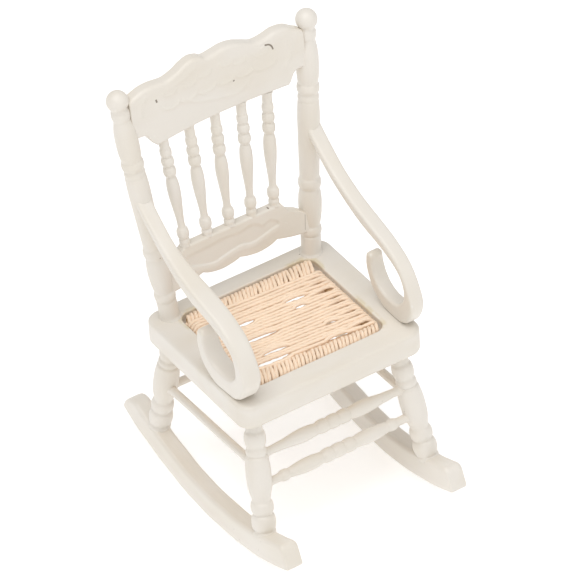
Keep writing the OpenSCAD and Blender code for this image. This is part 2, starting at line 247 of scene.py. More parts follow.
@dataclass
class Skin:
    """Vertices and faces of one piece, with what its finish needs at each vertex."""

    points: list[Points] = field(default_factory=list)
    faces: list[tuple[int, ...]] = field(default_factory=list)
    grain: list[Points] = field(default_factory=list)
    count: int = 0

    def add(self, points: Points, faces: np.ndarray, grain: Points) -> None:
        """Adds vertices, faces that count from the first of them, and their grain."""
        self.faces.extend(map(tuple, (np.asarray(faces) + self.count).tolist()))
        self.points.append(points)
        self.grain.append(grain)
        self.count += len(points)

    def loft(self, rings: Points, grain: Points, closed: bool = False) -> None:
        """Skins a row of closed rings that have the same number of points.

        Args:
            rings: The points, as ring, point and axis.
            grain: The grain vector of each of them, in the same order.
            closed: Whether the last ring joins the first. If not, both ends are capped.
        """
        m, n = rings.shape[:2]
        i = np.arange(m if closed else m - 1)[:, None]
        j = np.arange(n)[None, :]
        a, b = i * n + j, i * n + (j + 1) % n
        c, d = ((i + 1) % m) * n + (j + 1) % n, ((i + 1) % m) * n + j
        quads = np.stack([a, b, c, d], axis=-1).reshape(-1, 4)
        base = self.count
        self.add(rings.reshape(-1, 3), quads, grain.reshape(-1, 3))
        if not closed:
            self.cap(base, n, rings[0], grain[0], True)
            self.cap(base + (m - 1) * n, n, rings[-1], grain[-1], False)

    def cap(self, first: int, n: int, ring: Points, grain: Points, turned: bool) -> None:
        """Closes one ring with a fan of triangles round its middle."""
        middle = self.count
        self.points.append(ring.mean(0)[None])
        self.grain.append(grain.mean(0)[None])
        self.count += 1
        for k in range(n):
            a, b = first + k, first + (k + 1) % n
            self.faces.append((b, a, middle) if turned else (a, b, middle))

    def on(self, side: Side) -> "Skin":
        """This right-hand skin on a side of the chair, its grain shifted on the left."""
        if side is Side.RIGHT:
            return self
        return Skin([side.place(p) for p in self.points], [f[::-1] for f in self.faces],
                    [g + np.array(LEFT_GRAIN) for g in self.grain], self.count)


@dataclass(frozen=True)
class Finish:
    """A material and the record's slot that it stands for."""

    slot: str

    def material(self) -> bpy.types.Material:
        """The Blender material, made once and then shared."""
        name = "finish_" + self.slot
        found = bpy.data.materials.get(name)
        if found is None:
            found = bpy.data.materials.new(name)
            found.use_nodes = True
            self.paint(Graph(found.node_tree))
        return found

    def paint(self, graph: "Graph") -> None:
        """Builds the shader. Each finish has its own."""
        raise NotImplementedError


def near(points: Points, places: Points, reach: float) -> np.ndarray:
    """1 at any of the places, falling to 0 a few reaches away from all of them."""
    away = np.full(len(points), FAR_AWAY)
    for place in places:
        away = np.minimum(away, np.linalg.norm(points - place, axis=1))
    return np.exp(-(away / reach) ** 2)


def show(skin: Skin, name: str, space: Space, finish: Finish, nodes: Sequence[str],
         nicks_and_seam_shadow: Sequence[Points] = (), glue: Sequence[Points] = ()) -> None:
    """Makes a Blender object of a skin, puts it on its body and reports it.

    Args:
        skin: The vertices and faces, in the space's millimetres.
        name: The piece's name.
        space: The space that the skin is drawn in.
        finish: The finish it gets.
        nodes: The CAD nodes that it stands for.
        nicks_and_seam_shadow: Places where the paint is nicked and dark, and seams with a painted
            shadow.
        glue: Places with a smear of yellowed glue.
    """
    mesh = bpy.data.meshes.new(name)
    drawn = np.vstack(skin.points)
    points = space.metres(drawn)
    mesh.from_pydata(points.tolist(), [], skin.faces)
    grain = mesh.attributes.new("grain", "FLOAT_VECTOR", "POINT")
    grain.data.foreach_set("vector", np.vstack(skin.grain).astype(np.float32).ravel())
    if len(nicks_and_seam_shadow) or len(glue):
        marks = np.column_stack([near(drawn, nicks_and_seam_shadow, NICK_AND_SEAM_SHADOW_REACH), near(drawn, glue, GLUE_REACH),
                                 np.zeros(len(drawn))])
        mark = mesh.attributes.new("mark", "FLOAT_VECTOR", "POINT")
        mark.data.foreach_set("vector", marks.astype(np.float32).ravel())
    mesh.update()
    mesh.polygons.foreach_set("use_smooth", np.ones(len(mesh.polygons), bool))
    piece = bpy.data.objects.new(name, mesh)
    bpy.context.scene.collection.objects.link(piece)
    mesh.materials.append(finish.material())
    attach(piece, BODY)
    if nodes:
        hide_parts(*nodes)
        low = np.min([np.array(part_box(n)[0]) for n in nodes], axis=0)
        high = np.max([np.array(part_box(n)[1]) for n in nodes], axis=0)
        off = np.abs(np.concatenate([points.min(0) - low, points.max(0) - high])).max()
        log.info("%s: %d faces, %.2f mm off its CAD box", name, len(skin.faces), off / MM)
    else:
        log.info("%s: %d faces", name, len(skin.faces))


# ---------- shader graphs ----------


def operator(operation: str, reflected: bool = False) -> Callable[["Value", object], "Value"]:
    """Makes the method of an operator.

    Args:
        operation: The operation of the Math node that it adds.
        reflected: Whether the value stands on the operator's right.

    Returns:
        The method.
    """
    def method(self: "Value", other: object) -> "Value":
        """Adds the Math node."""
        first, second = (other, self) if reflected else (self, other)
        node = self.graph.add("ShaderNodeMath", {"operation": operation},
                              {0: first, 1: second})
        return Value(self.graph, node.outputs[0])

    return method


class Value:
    """A number in a shader graph that takes part in ordinary arithmetic."""

    def __init__(self, graph: "Graph", socket: bpy.types.NodeSocket) -> None:
        """Wraps an output socket of a graph."""
        self.graph = graph
        self.socket = socket

    __add__, __radd__ = operator("ADD"), operator("ADD", True)
    __sub__, __rsub__ = operator("SUBTRACT"), operator("SUBTRACT", True)
    __mul__, __rmul__ = operator("MULTIPLY"), operator("MULTIPLY", True)

    def step(self, low: float, high: float) -> "Value":
        """Smooth step from 0 at low to 1 at high."""
        node = self.graph.add("ShaderNodeMapRange", {"interpolation_type": "SMOOTHSTEP"},
                              {"Value": self, "From Min": low, "From Max": high})
        return Value(self.graph, node.outputs["Result"])


class Graph:
    """A material's node tree, emptied but for its shader and output."""

    def __init__(self, tree: bpy.types.NodeTree) -> None:
        """Takes over a tree.

        Args:
            tree: The node tree of a new material.
        """
        self.tree = tree
        tree.nodes.clear()
        self.shader = self.add("ShaderNodeBsdfPrincipled", {}, {})
        self.add("ShaderNodeOutputMaterial", {}, {"Surface": self.shader.outputs["BSDF"]})

    def add(self, kind: str, settings: dict, sockets: dict) -> bpy.types.Node:
        """Adds a node.

        Args:
            kind: The node's type.
            settings: Its settings, which are set first.
            sockets: Values or links of its input sockets, by name or number.

        Returns:
            The new node.
        """
        node = self.tree.nodes.new(kind)
        for name, value in settings.items():
            setattr(node, name, value)
        for name, value in sockets.items():
            self.plug(value, node.inputs[name])
        return node

    def plug(self, value: object, target: bpy.types.NodeSocket) -> None:
        """Links a value to an input socket, or sets the socket to a constant."""
        if isinstance(value, Value):
            value = value.socket
        if isinstance(value, bpy.types.NodeSocket):
            self.tree.links.new(value, target)
        else:
            target.default_value = value

    def attribute(self, name: str) -> bpy.types.NodeSocket:
        """A vector that each vertex carries."""
        node = self.add("ShaderNodeAttribute", {"attribute_name": name}, {})
        return node.outputs["Vector"]

    def part(self, vector: bpy.types.NodeSocket, axis: str) -> Value:
        """One part, X, Y or Z, of a vector."""
        return Value(self, self.add("ShaderNodeSeparateXYZ", {}, {0: vector}).outputs[axis])

    def scaled(self, vector: bpy.types.NodeSocket, by: Sequence[float]) -> bpy.types.NodeSocket:
        """A vector times another, part by part."""
        node = self.add("ShaderNodeVectorMath", {"operation": "MULTIPLY"},
                        {0: vector, 1: tuple(by)})
        return node.outputs[0]

    def noise(self, vector: bpy.types.NodeSocket, scale: float, detail: float = 3.0) -> Value:
        """Noise between 0 and 1."""
        node = self.add("ShaderNodeTexNoise", {}, {"Vector": vector, "Scale": scale,
                                                   "Detail": detail, "Roughness": 0.55})
        return Value(self, node.outputs[0])

    def cells(self, vector: bpy.types.NodeSocket, scale: float) -> tuple[Value, Value]:
        """Distance to the nearest of scattered points, and that point's random number."""
        node = self.add("ShaderNodeTexVoronoi", {}, {"Vector": vector, "Scale": scale})
        chance = self.part(node.outputs["Color"], "X")
        return Value(self, node.outputs["Distance"]), chance

    def mix(self, share: object, low: object, high: object) -> bpy.types.NodeSocket:
        """Colour between low, where share is 0, and high, where it is 1."""
        ends = [(*c, 1) if isinstance(c, tuple) else c for c in (low, high)]
        node = self.add("ShaderNodeMix", {"data_type": "RGBA"},
                        {"Factor": share, 6: ends[0], 7: ends[1]})
        return node.outputs[2]

    def bump(self, height: Value, depth: float) -> bpy.types.NodeSocket:
        """Normal of a surface raised by height times depth metres."""
        return self.add("ShaderNodeBump", {}, {"Height": height, "Distance": depth,
                                               "Strength": 1.0}).outputs["Normal"]

    def finish(self, **sockets: object) -> None:
        """Sets the shader's own sockets, with underscores for spaces in their names."""
        for name, value in sockets.items():
            title = "IOR" if name == "ior" else name.replace("_", " ").title()
            self.plug(value, self.shader.inputs[title])


# ---------- finishes ----------


@dataclass(frozen=True)
class IvoryPaint(Finish):
    """Satin ivory paint over fine wood, a little nibbed, with rare dark dots; painted shade darkens
    and warms its hollows, and painted highlights pale its convex edges.
    """

    slot: str = "painted_wood"
    coat: tuple[float, float, float] = (0.80, 0.755, 0.69)
    warm_and_hollow_shade: tuple[float, float, float] = (0.75, 0.685, 0.58)
    pale_streak_and_edge_highlight: tuple[float, float, float] = (0.84, 0.80, 0.74)
    speck_and_seam_shadow: tuple[float, float, float] = (0.16, 0.12, 0.08)
    smear: tuple[float, float, float] = (0.66, 0.56, 0.34)

    def paint(self, graph: Graph) -> None:
        """Builds the paint's shader."""
        grain = graph.attribute("grain")
        drift = graph.noise(graph.scaled(grain, (0.12, 0.12, 0.05)), 1.0, 2.0)
        streak = graph.noise(graph.scaled(grain, (2.6, 2.6, 0.16)), 1.0, 4.0)
        skin = graph.noise(grain, 2.2, 2.0)
        point = Value(graph, graph.add("ShaderNodeNewGeometry", {}, {}).outputs["Pointiness"])
        # painted shade: hollows, told by their low pointiness, get the darker, warmer colour
        painted_hollow_shade = 1 - point.step(0.42, 0.50)
        # painted highlight: convex edges, told by their high pointiness, get the paler colour
        edge = point.step(0.52, 0.62)
        near, chance = graph.cells(grain, 0.42)
        dot = (1 - near.step(0.03, 0.075)) * chance.step(0.90, 0.93)
        nib_near, nib_chance = graph.cells(grain, 1.3)
        nib = (1 - nib_near.step(0.0, 0.16)) * nib_chance.step(0.80, 0.86)
        base = graph.mix(drift.step(0.35, 0.7) * 0.5 + painted_hollow_shade * 0.45, self.coat, self.warm_and_hollow_shade)
        base = graph.mix(edge * 0.5 + streak.step(0.55, 0.8) * 0.25, base, self.pale_streak_and_edge_highlight)
        mark = graph.attribute("mark")
        # the mark's first part darkens nicked paint and paints a shadow along the lower rail's seam
        # with the post
        dark_mark = graph.part(mark, "X").step(0.25, 0.6)
        glue = graph.part(mark, "Y").step(0.1, 0.9) * graph.noise(grain, 0.5).step(0.3, 0.6)
        base = graph.mix(glue * 0.55, base, self.smear)
        base = graph.mix(dot * 0.8 + dark_mark * 0.9, base, self.speck_and_seam_shadow)
        height = streak * 0.5 + skin * 0.35 + nib * 0.8
        graph.finish(base_color=base, roughness=0.34 + drift * 0.12 + streak * 0.06,
                     normal=graph.bump(height, 0.00004), ior=1.48,
                     coat_weight=0.12, coat_roughness=0.22)


@dataclass(frozen=True)
class SeatCord(Finish):
    """Loosely twisted natural cord, with painted shade between its plies and a faint painted
    emission.
    """

    slot: str = "seat_cord"
    light: tuple[float, float, float] = (0.92, 0.75, 0.585)
    deep_and_ply_shade: tuple[float, float, float] = (0.84, 0.66, 0.49)
    pink: tuple[float, float, float] = (0.92, 0.73, 0.58)
    glow: tuple[float, float, float, float] = (1.0, 0.82, 0.64, 1.0)

    def paint(self, graph: Graph) -> None:
        """Builds the cord's shader. Its grain is the ply's height, the strand and the length."""
        grain = graph.attribute("grain")
        ridge = graph.part(grain, "X")
        fibre = graph.noise(graph.scaled(grain, (1.6, 1.6, 0.3)), 3.2, 4.0)
        strand = graph.noise(graph.scaled(grain, (0.0, 1.0, 0.02)), 3.1, 1.0)
        # painted shade: the cord is darker in the valleys between its plies
        base = graph.mix(ridge.step(0.0, 0.75), self.deep_and_ply_shade, self.light)
        base = graph.mix(strand.step(0.35, 0.7) * 0.6, base, self.pink)
        base = graph.mix((1 - fibre.step(0.25, 0.6)) * 0.4, base, self.deep_and_ply_shade)
        # painted light: a faint emission brightens the cord though it is no lamp
        graph.finish(base_color=base, roughness=0.82, emission_color=self.glow,
                     emission_strength=0.08, normal=graph.bump(fibre, 0.00008))


@dataclass(frozen=True)
class BareWood(Finish):
    """Unpainted softwood strip."""

    slot: str = "bare_wood"
    light: tuple[float, float, float] = (0.62, 0.44, 0.26)
    dark: tuple[float, float, float] = (0.42, 0.27, 0.14)

    def paint(self, graph: Graph) -> None:
        """Builds the wood's shader."""
        grain = graph.attribute("grain")
        rings = graph.noise(graph.scaled(grain, (3.5, 3.5, 0.12)), 1.0, 4.0)
        graph.finish(base_color=graph.mix(rings.step(0.35, 0.65), self.light, self.dark),
                     roughness=0.7, normal=graph.bump(rings, 0.00004))


PAINT = IvoryPaint()
CORD = SeatCord()
WOOD = BareWood()


# ---------- turned work ----------


@dataclass
class Turning:
    """A round piece turned on a lathe, with paint pooled where it meets its neighbours."""

    profile: Points
    start: Points
    end: Points
    gaps: Sequence[Gap] = ()
    sides: int = 36
    step: float = 0.17
    softness: float = 0.13
    pool: float = 0.32
    pool_reach: float = 0.26
    oval: float = 0.008
    drift: float = 0.035
    seed: int = 0

    def skin(self) -> Skin:
        """The piece's skin, in the space of its start and end points.

        Returns:
            The skin, with its grain along the piece.
        """
        line = soften(self.profile, self.step, self.softness)
        rng = np.random.default_rng(self.seed)
        phase = rng.uniform(0, 2 * math.pi, 4)
        a = np.linspace(0, 2 * math.pi, self.sides, endpoint=False)
        radius, height = line[:, 0, None], line[:, 1, None]
        oval = 1 + self.oval * np.sin(2 * a + phase[0] + height * 0.05)
        drift_x = self.drift * np.sin(height * 0.16 + phase[1])
        drift_y = self.drift * np.sin(height * 0.13 + phase[2])
        span = np.array(self.end) - self.start
        axis = span / np.linalg.norm(span)
        side = np.cross([0.0, 1.0, 0.0] if abs(axis[1]) < 0.9 else [1.0, 0.0, 0.0], axis)
        side /= np.linalg.norm(side)
        over = np.cross(axis, side)
        for _ in range(2):  # first plain, to measure the gaps, then with the pooled paint
            x = radius * oval * np.cos(a) + drift_x
            y = radius * oval * np.sin(a) + drift_y
            rings = (np.array(self.start) + x[..., None] * side + y[..., None] * over
                     + (height + 0 * x)[..., None] * axis)
            flare = np.zeros_like(x)
            for gap in self.gaps:
                away = np.clip(gap(rings.reshape(-1, 3)).reshape(x.shape), 0, FAR_AWAY)
                flare = np.maximum(flare, self.pool * np.exp(-(away / self.pool_reach) ** 1.3))
            radius = line[:, 0, None] + flare * (line[:, 0, None] > 0.3)
        grain = np.stack([x, y, height + 0 * x + 13.0 * self.seed], axis=-1)
        out = Skin()
        out.loft(rings, grain)
        return out

    def show(self, node: str, space: Space, ending: str = "turned") -> None:
        """Shows the piece in place of a CAD node, whose name its own starts with."""
        show(self.skin(), f"{node}_{ending}", space, PAINT, [node])


def plane_gap(axis: int, at: float, sign: float) -> Gap:
    """Distance from a plane across an axis, measured towards the piece."""
    return lambda p: sign * (p[:, axis] - at)


# ---------- sub-assemblies ----------


@dataclass
class Rockers:
    """The two rockers: arcs with softened edges and a shallow groove along the top."""

    space: Space
    centre: tuple[float, float] = (-3.7, 32.9)
    rolling: float = 74.1
    depth: float = 5.9
    width: float = 4.2
    middle_x: float = 21.1
    front: float = -24.5
    rear: float = 27.8
    front_top: tuple[float, float] = (1.6, 1.5)
    front_low: tuple[float, float] = (0.8, 0.8)
    rear_top: tuple[float, float] = (4.2, 4.2)
    rear_low: tuple[float, float] = (0.4, 0.4)
    end_narrow: float = 0.45
    top_edge: float = 0.95
    low_edge: float = 0.5
    groove: float = 0.16
    groove_width: float = 1.1
    groove_fade: tuple[float, float] = (9.0, 13.0)
    waves: tuple[float, float] = (0.05, 0.03)

    @property
    def top(self) -> float:
        """Radius of the rockers' upper edge."""
        return self.rolling - self.depth

    def gap_above(self, points: Points) -> np.ndarray:
        """Height of points above a rocker's top."""
        return self.top - np.hypot(points[:, 1] - self.centre[0], points[:, 2] - self.centre[1])

    @staticmethod
    def inset(size: tuple[float, float], far: float) -> float:
        """How far an end's rounding of that length and depth stands in, at far from the end."""
        share = min(max(1 - far / size[0], 0.0), 1.0)
        return size[1] * (1 - math.sqrt(1 - share ** 2))

    def section(self, narrow: float, high: float, low: float, dip: float) -> Points:
        """Cross-section of a rocker as (x, radius) points, clockwise from its lower left.

        Args:
            narrow: How much each side stands in from the full width.
            high: Radius of the top.
            low: Radius of the rolling edge.
            dip: Depth of the groove in the top.

        Returns:
            The section's points, always the same number.
        """
        half = self.width / 2 - narrow
        e_top = min(self.top_edge, 0.45 * (low - high))
        e_low = min(self.low_edge, 0.45 * (low - high))
        a = np.linspace(0, 90, 7)
        corners = []
        for sx, r, e, start in ((-1, low - e_low, e_low, 90), (-1, high + e_top, e_top, 180),
                                (1, high + e_top, e_top, 270), (1, low - e_low, e_low, 0)):
            t = np.radians(start + a)
            corners.append(np.column_stack([sx * (half - e) + e * np.cos(t), r + e * np.sin(t)]))
        ring = []
        for k, extra in enumerate((4, 11, 4, 5)):
            start, end = corners[k][-1], corners[(k + 1) % 4][0]
            t = np.linspace(0, 1, extra + 2)[1:-1, None]
            ring += [corners[k], start + (end - start) * t]
        ring = np.vstack(ring)
        on_top = np.abs(ring[:, 1] - high) < 1e-6
        ring[:, 1] += np.where(on_top, dip * np.exp(-(ring[:, 0] / self.groove_width) ** 4), 0)
        return ring

    def skin(self) -> Skin:
        """Skin of the right-hand rocker."""
        length = math.radians(self.rear - self.front) * self.rolling
        end = 1.1 * self.rear_top[0] * np.linspace(0, 1, 18) ** 2
        fars = np.concatenate([end, np.linspace(end[-1], length - end[-1], 140)[1:-1],
                               (length - end)[::-1]])
        rings, grain = [], []
        for s in fars:
            high = self.top + self.inset(self.front_top, s) + self.inset(self.rear_top, length - s)
            low = self.rolling - (self.inset(self.front_low, s)
                                  + self.inset(self.rear_low, length - s))
            inside = min(s, length - s)
            narrow = self.inset((self.end_narrow * 2, self.end_narrow), inside)
            dip = self.groove * float(smooth(np.array(inside), *self.groove_fade))
            ring = self.section(narrow, high, low, dip)
            turn = math.radians(self.front) + s / self.rolling
            long, short = self.waves
            wave = long * math.sin(turn * 17.8) + short * math.sin(turn * 47.6 + 1)
            rings.append(np.column_stack([self.middle_x + ring[:, 0] + wave,
                                          self.centre[0] + ring[:, 1] * math.sin(turn),
                                          self.centre[1] - ring[:, 1] * math.cos(turn)]))
            grain.append(np.column_stack([ring, np.full(len(ring), s)]))
        out = Skin()
        out.loft(np.array(rings), np.array(grain))
        return out

    def build(self) -> None:
        """Shows both rockers."""
        right = self.skin()
        for side in Side:
            node = f"rocker_{side.word}"
            show(right.on(side), f"{node}_painted", self.space, PAINT, [node])


@dataclass
class Legs:
    """Four turned legs between the rockers and the seat board."""

    space: Space
    rockers: Rockers
    seat_under: float = -5.8
    front_foot: tuple[float, float, float] = (20.92, -22.25, -32.68)
    front_top: tuple[float, float, float] = (18.25, -15.95, -5.8)
    rear_foot: tuple[float, float, float] = (20.6, 19.6, -31.2)
    rear_top: tuple[float, float, float] = (18.25, 15.3, -5.8)

    @staticmethod
    def profile(tall: float) -> Points:
        """Turned outline of a leg, measured up from the rocker.

        Args:
            tall: The leg's length between rocker and board.

        Returns:
            (radius, height) points.
        """
        return chain(
            [[2.02, -0.7], [2.02, 0.35]],
            bead(0.5, 4.1, 2.05, 2.65),
            bead(4.5, 7.2, 2.05, 2.5),
            curve([[2, 7.6], [2.15, 8.3], [2.6, 10.3], [2.75, 13], [2.7, 15.6], [2.45, 17.8]]),
            bead(18.2, 19.8, 2, 2.3),
            bead(20.4, 23.8, 1.95, 2.4),
            [[1.85, 24.1], [1.85, tall + 0.5]])

    def at(self, front: bool, z: float) -> Points:
        """Point of the right front or rear leg's middle line at a height below the seat."""
        foot, top = ((self.front_foot, self.front_top) if front
                     else (self.rear_foot, self.rear_top))
        p, q = np.array(foot), np.array(top)
        return p + (q - p) * (z - p[2]) / (q[2] - p[2])

    def build(self) -> None:
        """Shows the four legs."""
        gaps = [self.rockers.gap_above, plane_gap(2, self.seat_under, -1)]
        for k, (place, foot, top) in enumerate((("front", self.front_foot, self.front_top),
                                                ("rear", self.rear_foot, self.rear_top))):
            for side in Side:
                p, q = side.place(foot), side.place(top)
                tall = float(np.linalg.norm(q - p))
                turned = Turning(self.profile(tall), p, q, gaps, pool=0.42, pool_reach=0.32,
                                 seed=2 * k + (side is Side.RIGHT))
                turned.show(f"{place}_leg_{side.word}", self.space)


@dataclass
class Stretchers:
    """The rails between the legs: two turned ones in front, plain dowels elsewhere."""

    space: Space
    legs: Legs
    upper_z: float = -15.5
    lower_z: float = -22.4
    side_front_z: float = -18.1
    side_rear_z: float = -19.6
    rear_z: float = -21.0
    dowel: float = 0.95
    leg_radius: float = 2.5

    def half(self, far: float, end_bead: bool) -> Points:
        """Half outline of a turned front stretcher, from its middle bead outwards."""
        tail = bead(12.7, 14.7, 1.05, 1.35) if end_bead else [[1.05, 14.0]]
        return chain(
            bead(1.4, 4, 1.3, 1.62),
            curve([[1.3, 4.2], [1.5, 5.6], [1.62, 7.4], [1.5, 9.6], [1.12, 12.4]]),
            tail, [[self.dowel, 15.2], [self.dowel, far]])

    def joints(self, p: Points, q: Points) -> list[Gap]:
        """Gaps to the two legs that a stretcher from p to q is let into."""
        d = (q - p) / np.linalg.norm(q - p)
        return [lambda v: (v - p) @ d - self.leg_radius, lambda v: (q - v) @ d - self.leg_radius]

    def turned(self, name: str, z: float, end_bead: bool, seed: int) -> None:
        """Shows one turned front stretcher."""
        q = self.legs.at(True, z)
        p = Side.LEFT.place(q)
        half = self.half(q[0] - 1.2, end_bead)
        left = half[::-1] * [1, -1]
        line = chain(left, bead(-1.35, 1.35, 1.3, 1.62), half) + [0, q[0]]
        piece = Turning(line, p, q, self.joints(p, q), sides=28, seed=seed, pool=0.22)
        piece.show(name, self.space)

    def plain(self, name: str, p: Points, q: Points, seed: int) -> None:
        """Shows one plain dowel."""
        far = float(np.linalg.norm(q - p))
        line = chain([[self.dowel, 1.2]], [[self.dowel, far - 1.2]])
        piece = Turning(line, p, q, self.joints(p, q), sides=24, seed=seed, pool=0.25)
        piece.show(name, self.space, "dowel")

    def build(self) -> None:
        """Shows all five stretchers."""
        self.turned("front_stretcher_upper", self.upper_z, False, 11)
        self.turned("front_stretcher_lower", self.lower_z, True, 12)
        front, rear = self.legs.at(True, self.side_front_z), self.legs.at(False, self.side_rear_z)
        for seed, side in enumerate(Side, 13):
            self.plain(f"side_stretcher_{side.word}", side.place(front), side.place(rear), seed)
        back = self.legs.at(False, self.rear_z)
        self.plain("rear_stretcher", Side.LEFT.place(back), back, 15)


@dataclass
class SeatBoard:
    """The seat board with its opening and the ledge under the woven panel."""

    space: Space
    width: float = 46.0
    depth: float = 39.9
    thick: float = 5.8
    shift: float = -0.55
    corner: float = 3.4
    opening_w: float = 33.8
    opening_d: float = 29.8
    opening_corner: float = 2.6
    tightest: float = 1.2
    ledge: float = 1.3
    ledge_z: float = -2.4
    top_round: float = 0.8
    lip_round: float = 0.35
    swell: float = 0.05

    def outer(self, inset: float) -> Points:
        """Outer outline, inset by so much."""
        return board_loop(self.width - 2 * inset, self.depth - 2 * inset,
                          self.corner - inset, self.shift)

    def inner(self, grown: float) -> Points:
        """Outline of the opening, grown by so much."""
        return board_loop(self.opening_w + 2 * grown, self.opening_d + 2 * grown,
                          max(self.opening_corner + grown, self.tightest))

    def rows(self) -> list[tuple[Points, float]]:
        """The loops that the board is skinned from, each with its height."""
        a = np.radians(np.linspace(0, 90, 7))
        r, lip = self.top_round, self.lip_round
        rows = [(self.inner(-self.ledge), -self.thick), (self.outer(0.6), -self.thick),
                (self.outer(0.18), -self.thick + 0.1), (self.outer(0), -self.thick + 0.5)]
        rows += [(self.outer(0), z) for z in np.linspace(-self.thick + 1.2, -r - 0.4, 6)]
        rows += [(self.outer(r * (1 - math.cos(t))), -r + r * math.sin(t)) for t in a]
        edge, rim = self.outer(r), self.inner(lip)
        rows += [(edge + (rim - edge) * t, 0.0) for t in np.linspace(0, 1, 8)[1:-1]]
        rows += [(self.inner(lip * (1 - math.sin(t))), -lip + lip * math.cos(t)) for t in a]
        rows += [(self.inner(0), z) for z in np.linspace(-lip - 0.3, self.ledge_z, 4)]
        rows += [(self.inner(-self.ledge + 0.15), self.ledge_z),
                 (self.inner(-self.ledge), self.ledge_z - 0.15),
                 (self.inner(-self.ledge), -self.thick + 0.3)]
        return rows

    def build(self) -> None:
        """Shows the board."""
        rings = np.array([np.column_stack([loop, np.full(len(loop), z)])
                          for loop, z in self.rows()])
        swell = np.sin(rings[..., 0] * 0.21) * np.sin(rings[..., 1] * 0.17 + 0.6) - 1
        rings[..., 2] += self.swell * swell * smooth(rings[..., 2], -1.0, -0.2)
        out = Skin()
        out.loft(rings, rings[..., [1, 2, 0]], closed=True)
        out.faces = [f[::-1] for f in out.faces]
        show(out, "seat_board_painted", self.space, PAINT, ["seat_frame"], glue=self.glue())

    def glue(self) -> Points:
        """Places along the opening's edge where glue has squeezed out."""
        loop = self.inner(0.1)
        rim = np.column_stack([loop, np.full(len(loop), -0.1)])
        rear = (rim[:, 1] > 9) & (np.abs(rim[:, 0]) > 11)
        side = (rim[:, 0] > 16) & (rim[:, 1] < -2)
        return rim[rear | side]


@dataclass
class Back:
    """The reclined back: two posts, crest rail, lower rail and five spindles."""

    seat: Space
    start_y: float = 16.0
    recline: float = 5.5
    splay: float = 5.6
    post_x: float = 18.05
    finial: float = 57.2
    finial_radius: float = 2.42
    rail_front: float = -1.52
    rail_thick: float = 2.3
    crest_thick: float = 3.0
    crest_base: float = 44.0
    lower_top: float = 16.1
    foot_x: tuple[float, ...] = (-12.4, -6.7, -1.1, 4.5, 10.2)
    head_x: tuple[float, ...] = (-14.1, -7.7, -1.2, 5.4, 11.9)
    head_z: tuple[float, ...] = (43.5, 43.95, 44.45, 43.95, 43.5)

    def __post_init__(self) -> None:
        """Sets up the space that leans back with the posts."""
        self.space = self.seat.leaning(self.start_y, self.recline)

    def post_profile(self) -> Points:
        """Turned outline of a post, measured up from the seat."""
        return chain(
            [[2.2, -0.8], [2.2, 4.2]],
            bead(4.6, 6.8, 2, 2.38),
            curve([[2.05, 7], [2.4, 9.3], [2.55, 12.3], [2.4, 14.8], [2.12, 16]]),
            bead(16.3, 18.7, 2.15, 2.5),
            curve([[2.15, 18.9], [2.2, 21], [2.35, 28], [2.45, 34], [2.32, 37.6]]),
            bead(37.8, 39.2, 2.15, 2.32),
            bead(39.7, 41.9, 2.1, 2.48),
            curve([[2.2, 42.1], [2.45, 44.5], [2.45, 48], [2.25, 50.2], [1.85, 52.2]]),
            bead(52.6, 55, 1.8, 2.05),
            ball(self.finial, self.finial_radius, -42))

    def posts(self) -> None:
        """Shows the two posts."""
        lean = math.radians(self.splay)
        tilt = math.radians(self.recline)

        def above_seat(points: Points) -> np.ndarray:
            """Height above the seat board of points in the back's space."""
            return points[:, 2] * math.cos(tilt) - points[:, 1] * math.sin(tilt)

        p = np.array([self.post_x, 0.0, 0.0])
        q = p + [60 * math.sin(lean), 0, 60 * math.cos(lean)]
        for side in Side:
            turned = Turning(self.post_profile(), side.place(p), side.place(q), [above_seat],
                             sides=40, seed=21 + (side is Side.RIGHT))
            turned.show(f"back_post_{side.word}", self.space)

    @staticmethod
    def spindle_profile(tall: float) -> Points:
        """Turned outline of a spindle of that length between the two rails."""
        return chain(
            [[1.0, -0.4], [1.0, 0.15]],
            bead(0.2, 1.4, 1, 1.2),
            bead(1.7, 4.2, 0.95, 1.35),
            curve([[0.85, 4.5], [0.82, 6], [1.02, 8.5], [1.3, 11.5], [1.43, 14.2],
                   [1.3, 16.4], [1, 17.6]]),
            bead(17.9, 20.2, 1.05, 1.43),
            bead(20.5, 22.6, 1.05, 1.4),
            bead(22.9, 25, 1, 1.3),
            [[1.1, 25.3], [1.1, tall + 0.5]])

    def spindles(self) -> None:
        """Shows the five spindles."""
        for k in range(5):
            p = np.array([self.foot_x[k], self.rail_front + self.rail_thick / 2,
                          self.lower_top])
            q = np.array([self.head_x[k], self.rail_front + self.crest_thick / 2,
                          self.head_z[k]])
            tall = float(np.linalg.norm(q - p))
            gaps = [plane_gap(2, self.lower_top, 1), plane_gap(2, self.head_z[k], -1)]
            turned = Turning(self.spindle_profile(tall), p, q, gaps, sides=28,
                             seed=31 + k, pool=0.2, pool_reach=0.22, softness=0.11)
            turned.show(f"spindle_{k + 1}", self.space)

    def build(self) -> None:
        """Shows the whole back."""
        self.posts()
        self.spindles()
        CarvedPlate.crest(self).build()
        CarvedPlate.lower(self).build()


@dataclass(frozen=True)
class Stroke:
    """A raised or sunk line of the carving: its points, half width and height."""

    keys: tuple[tuple[float, float], ...]
    half: float
    height: float

    def relief(self, u: np.ndarray, z: np.ndarray) -> np.ndarray:
        """Height of the stroke at places across and up the plate."""
        line = curve(self.keys, 6)
        away = np.full(u.shape, FAR_AWAY)
        for p, q in zip(line[:-1], line[1:]):
            d = q - p
            t = np.clip(((u - p[0]) * d[0] + (z - p[1]) * d[1]) / (d @ d + 1e-9), 0, 1)
            away = np.minimum(away, np.hypot(u - p[0] - t * d[0], z - p[1] - t * d[1]))
        return self.height * np.exp(-(away / self.half) ** 2)


